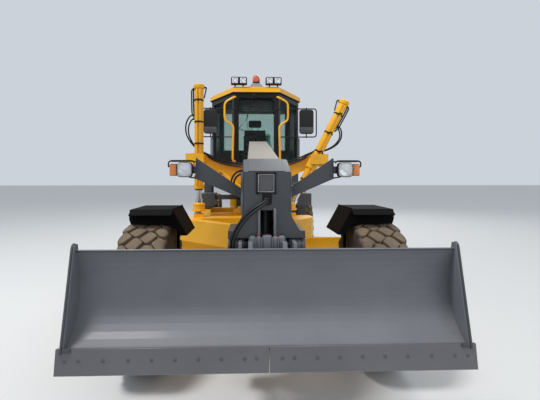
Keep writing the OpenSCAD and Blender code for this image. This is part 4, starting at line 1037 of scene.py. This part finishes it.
def undercarriage():
    """Bolts and lids of the tandem boxes, the front axle's bolts and the circle's teeth."""
    outer, inner, middle = 811, 629, 720
    nuts = Shape()
    for s in (-1, 1):
        for y in (5450, 6990):
            for x, out in ((s * outer, s), (s * inner, -s)):
                nuts.bolts([(x, y + a, TYRE_R + b) for a, b in around(12, 170)], (out, 0, 0), 11, 9)
        nuts.bolts([(s * inner, 6220 + a, TYRE_R + b) for a, b in around(14, 190)], (-s, 0, 0), 12, 10)
    nuts.done("tandem_bolts", "bare_steel", body="rear_body")
    lids = Shape()
    for s in (-1, 1):
        x = s * middle
        lids.box(span(x, 60), (5800, 6640), (890, 898), 3)
        lids.bolts([(x + dx, y, 898) for dx in (-44, 44) for y in (5820, 6090, 6350, 6620)], (0, 0, 1), 9, 8)
    lids.done("tandem_lids", "yellow_paint", body="rear_body")
    axle = Shape()
    axle.bolts([(x, -82, 820) for x in (-90, -30, 30, 90)], (0, -1, 0), 11, 10)
    for s in (-1, 1):
        axle.bolts([(s * x, -82, 600) for x in (300, 420, 540, 660)], (0, -1, 0), 10, 9)
    axle.done("axle_bolts", "cast_iron")
    tooth = Shape()
    tooth.box((604, 627), (-11, 11), (934, 1026), 4)
    centre = Matrix.Translation((*CIRCLE, 0))
    teeth = Shape()
    teeth.add(tooth, *[centre @ Matrix.Rotation(math.tau * k / 64, 4, "Z") for k in range(64)])
    teeth.done("circle_teeth", "worn_steel", "bare_steel", body="turning_circle")


def studio():
    """Floor, sky and lights."""
    floor_mat = Finish("studio_floor").set(base=(0.62, 0.62, 0.61), rough=0.85)
    bpy.ops.mesh.primitive_plane_add(size=160)
    floor = bpy.context.object
    floor.name = "floor"
    floor.data.materials.append(floor_mat)
    world = bpy.data.worlds.new("studio_world")
    SCENE.world = world
    world.use_nodes = True
    sky = world.node_tree.nodes["Background"]
    sky.inputs["Color"].default_value = (0.80, 0.86, 0.93, 1)
    sky.inputs["Strength"].default_value = 0.75
    for name, place, size, power in (
            ("key", (-4.6, -5.4, 13), 2.6, 1300), ("fill", (6, -12, 6), 8, 260),
            ("rim", (4, 11, 10), 6, 500)):
        light = bpy.data.lights.new(name, "AREA")
        light.size = size
        light.energy = power
        holder = new_object(name, light)
        holder.location = place
        holder.rotation_mode = "QUATERNION"
        holder.rotation_quaternion = (Vector((0, -1, 1)) - Vector(place)).to_track_quat("-Z", "Y")


def camera():
    """The camera as fitted to the photo, low in front of the machine."""
    lens = bpy.data.cameras.new("camera")
    lens.sensor_width = 36
    lens.lens = 27
    holder = new_object("camera", lens)
    lens.shift_x, lens.shift_y = 0.0155, -0.0426
    holder.location = (-0.146, AXLE_Y - 3.96, 1.79)
    holder.rotation_euler = (math.radians(90), 0, math.radians(-2))
    SCENE.camera = holder


for place, y in (("front", 0), ("mid", 5450), ("rear", 6990)):
    for sign, side in SIDES:
        tyre(f"{place}_{side}", sign, y)
        wheel_fittings(f"{place}_{side}", sign, y)
dozer()
bracket()
lift_cylinders()
for row in HOSES:
    hose(*row)
right_loops()
seat()
controls()
lamps()
cab()
roof_lamps()
mirrors()
fender_fronts()
hood_trim()
undercarriage()
studio()
camera()
SCENE.view_settings.view_transform = "Standard"
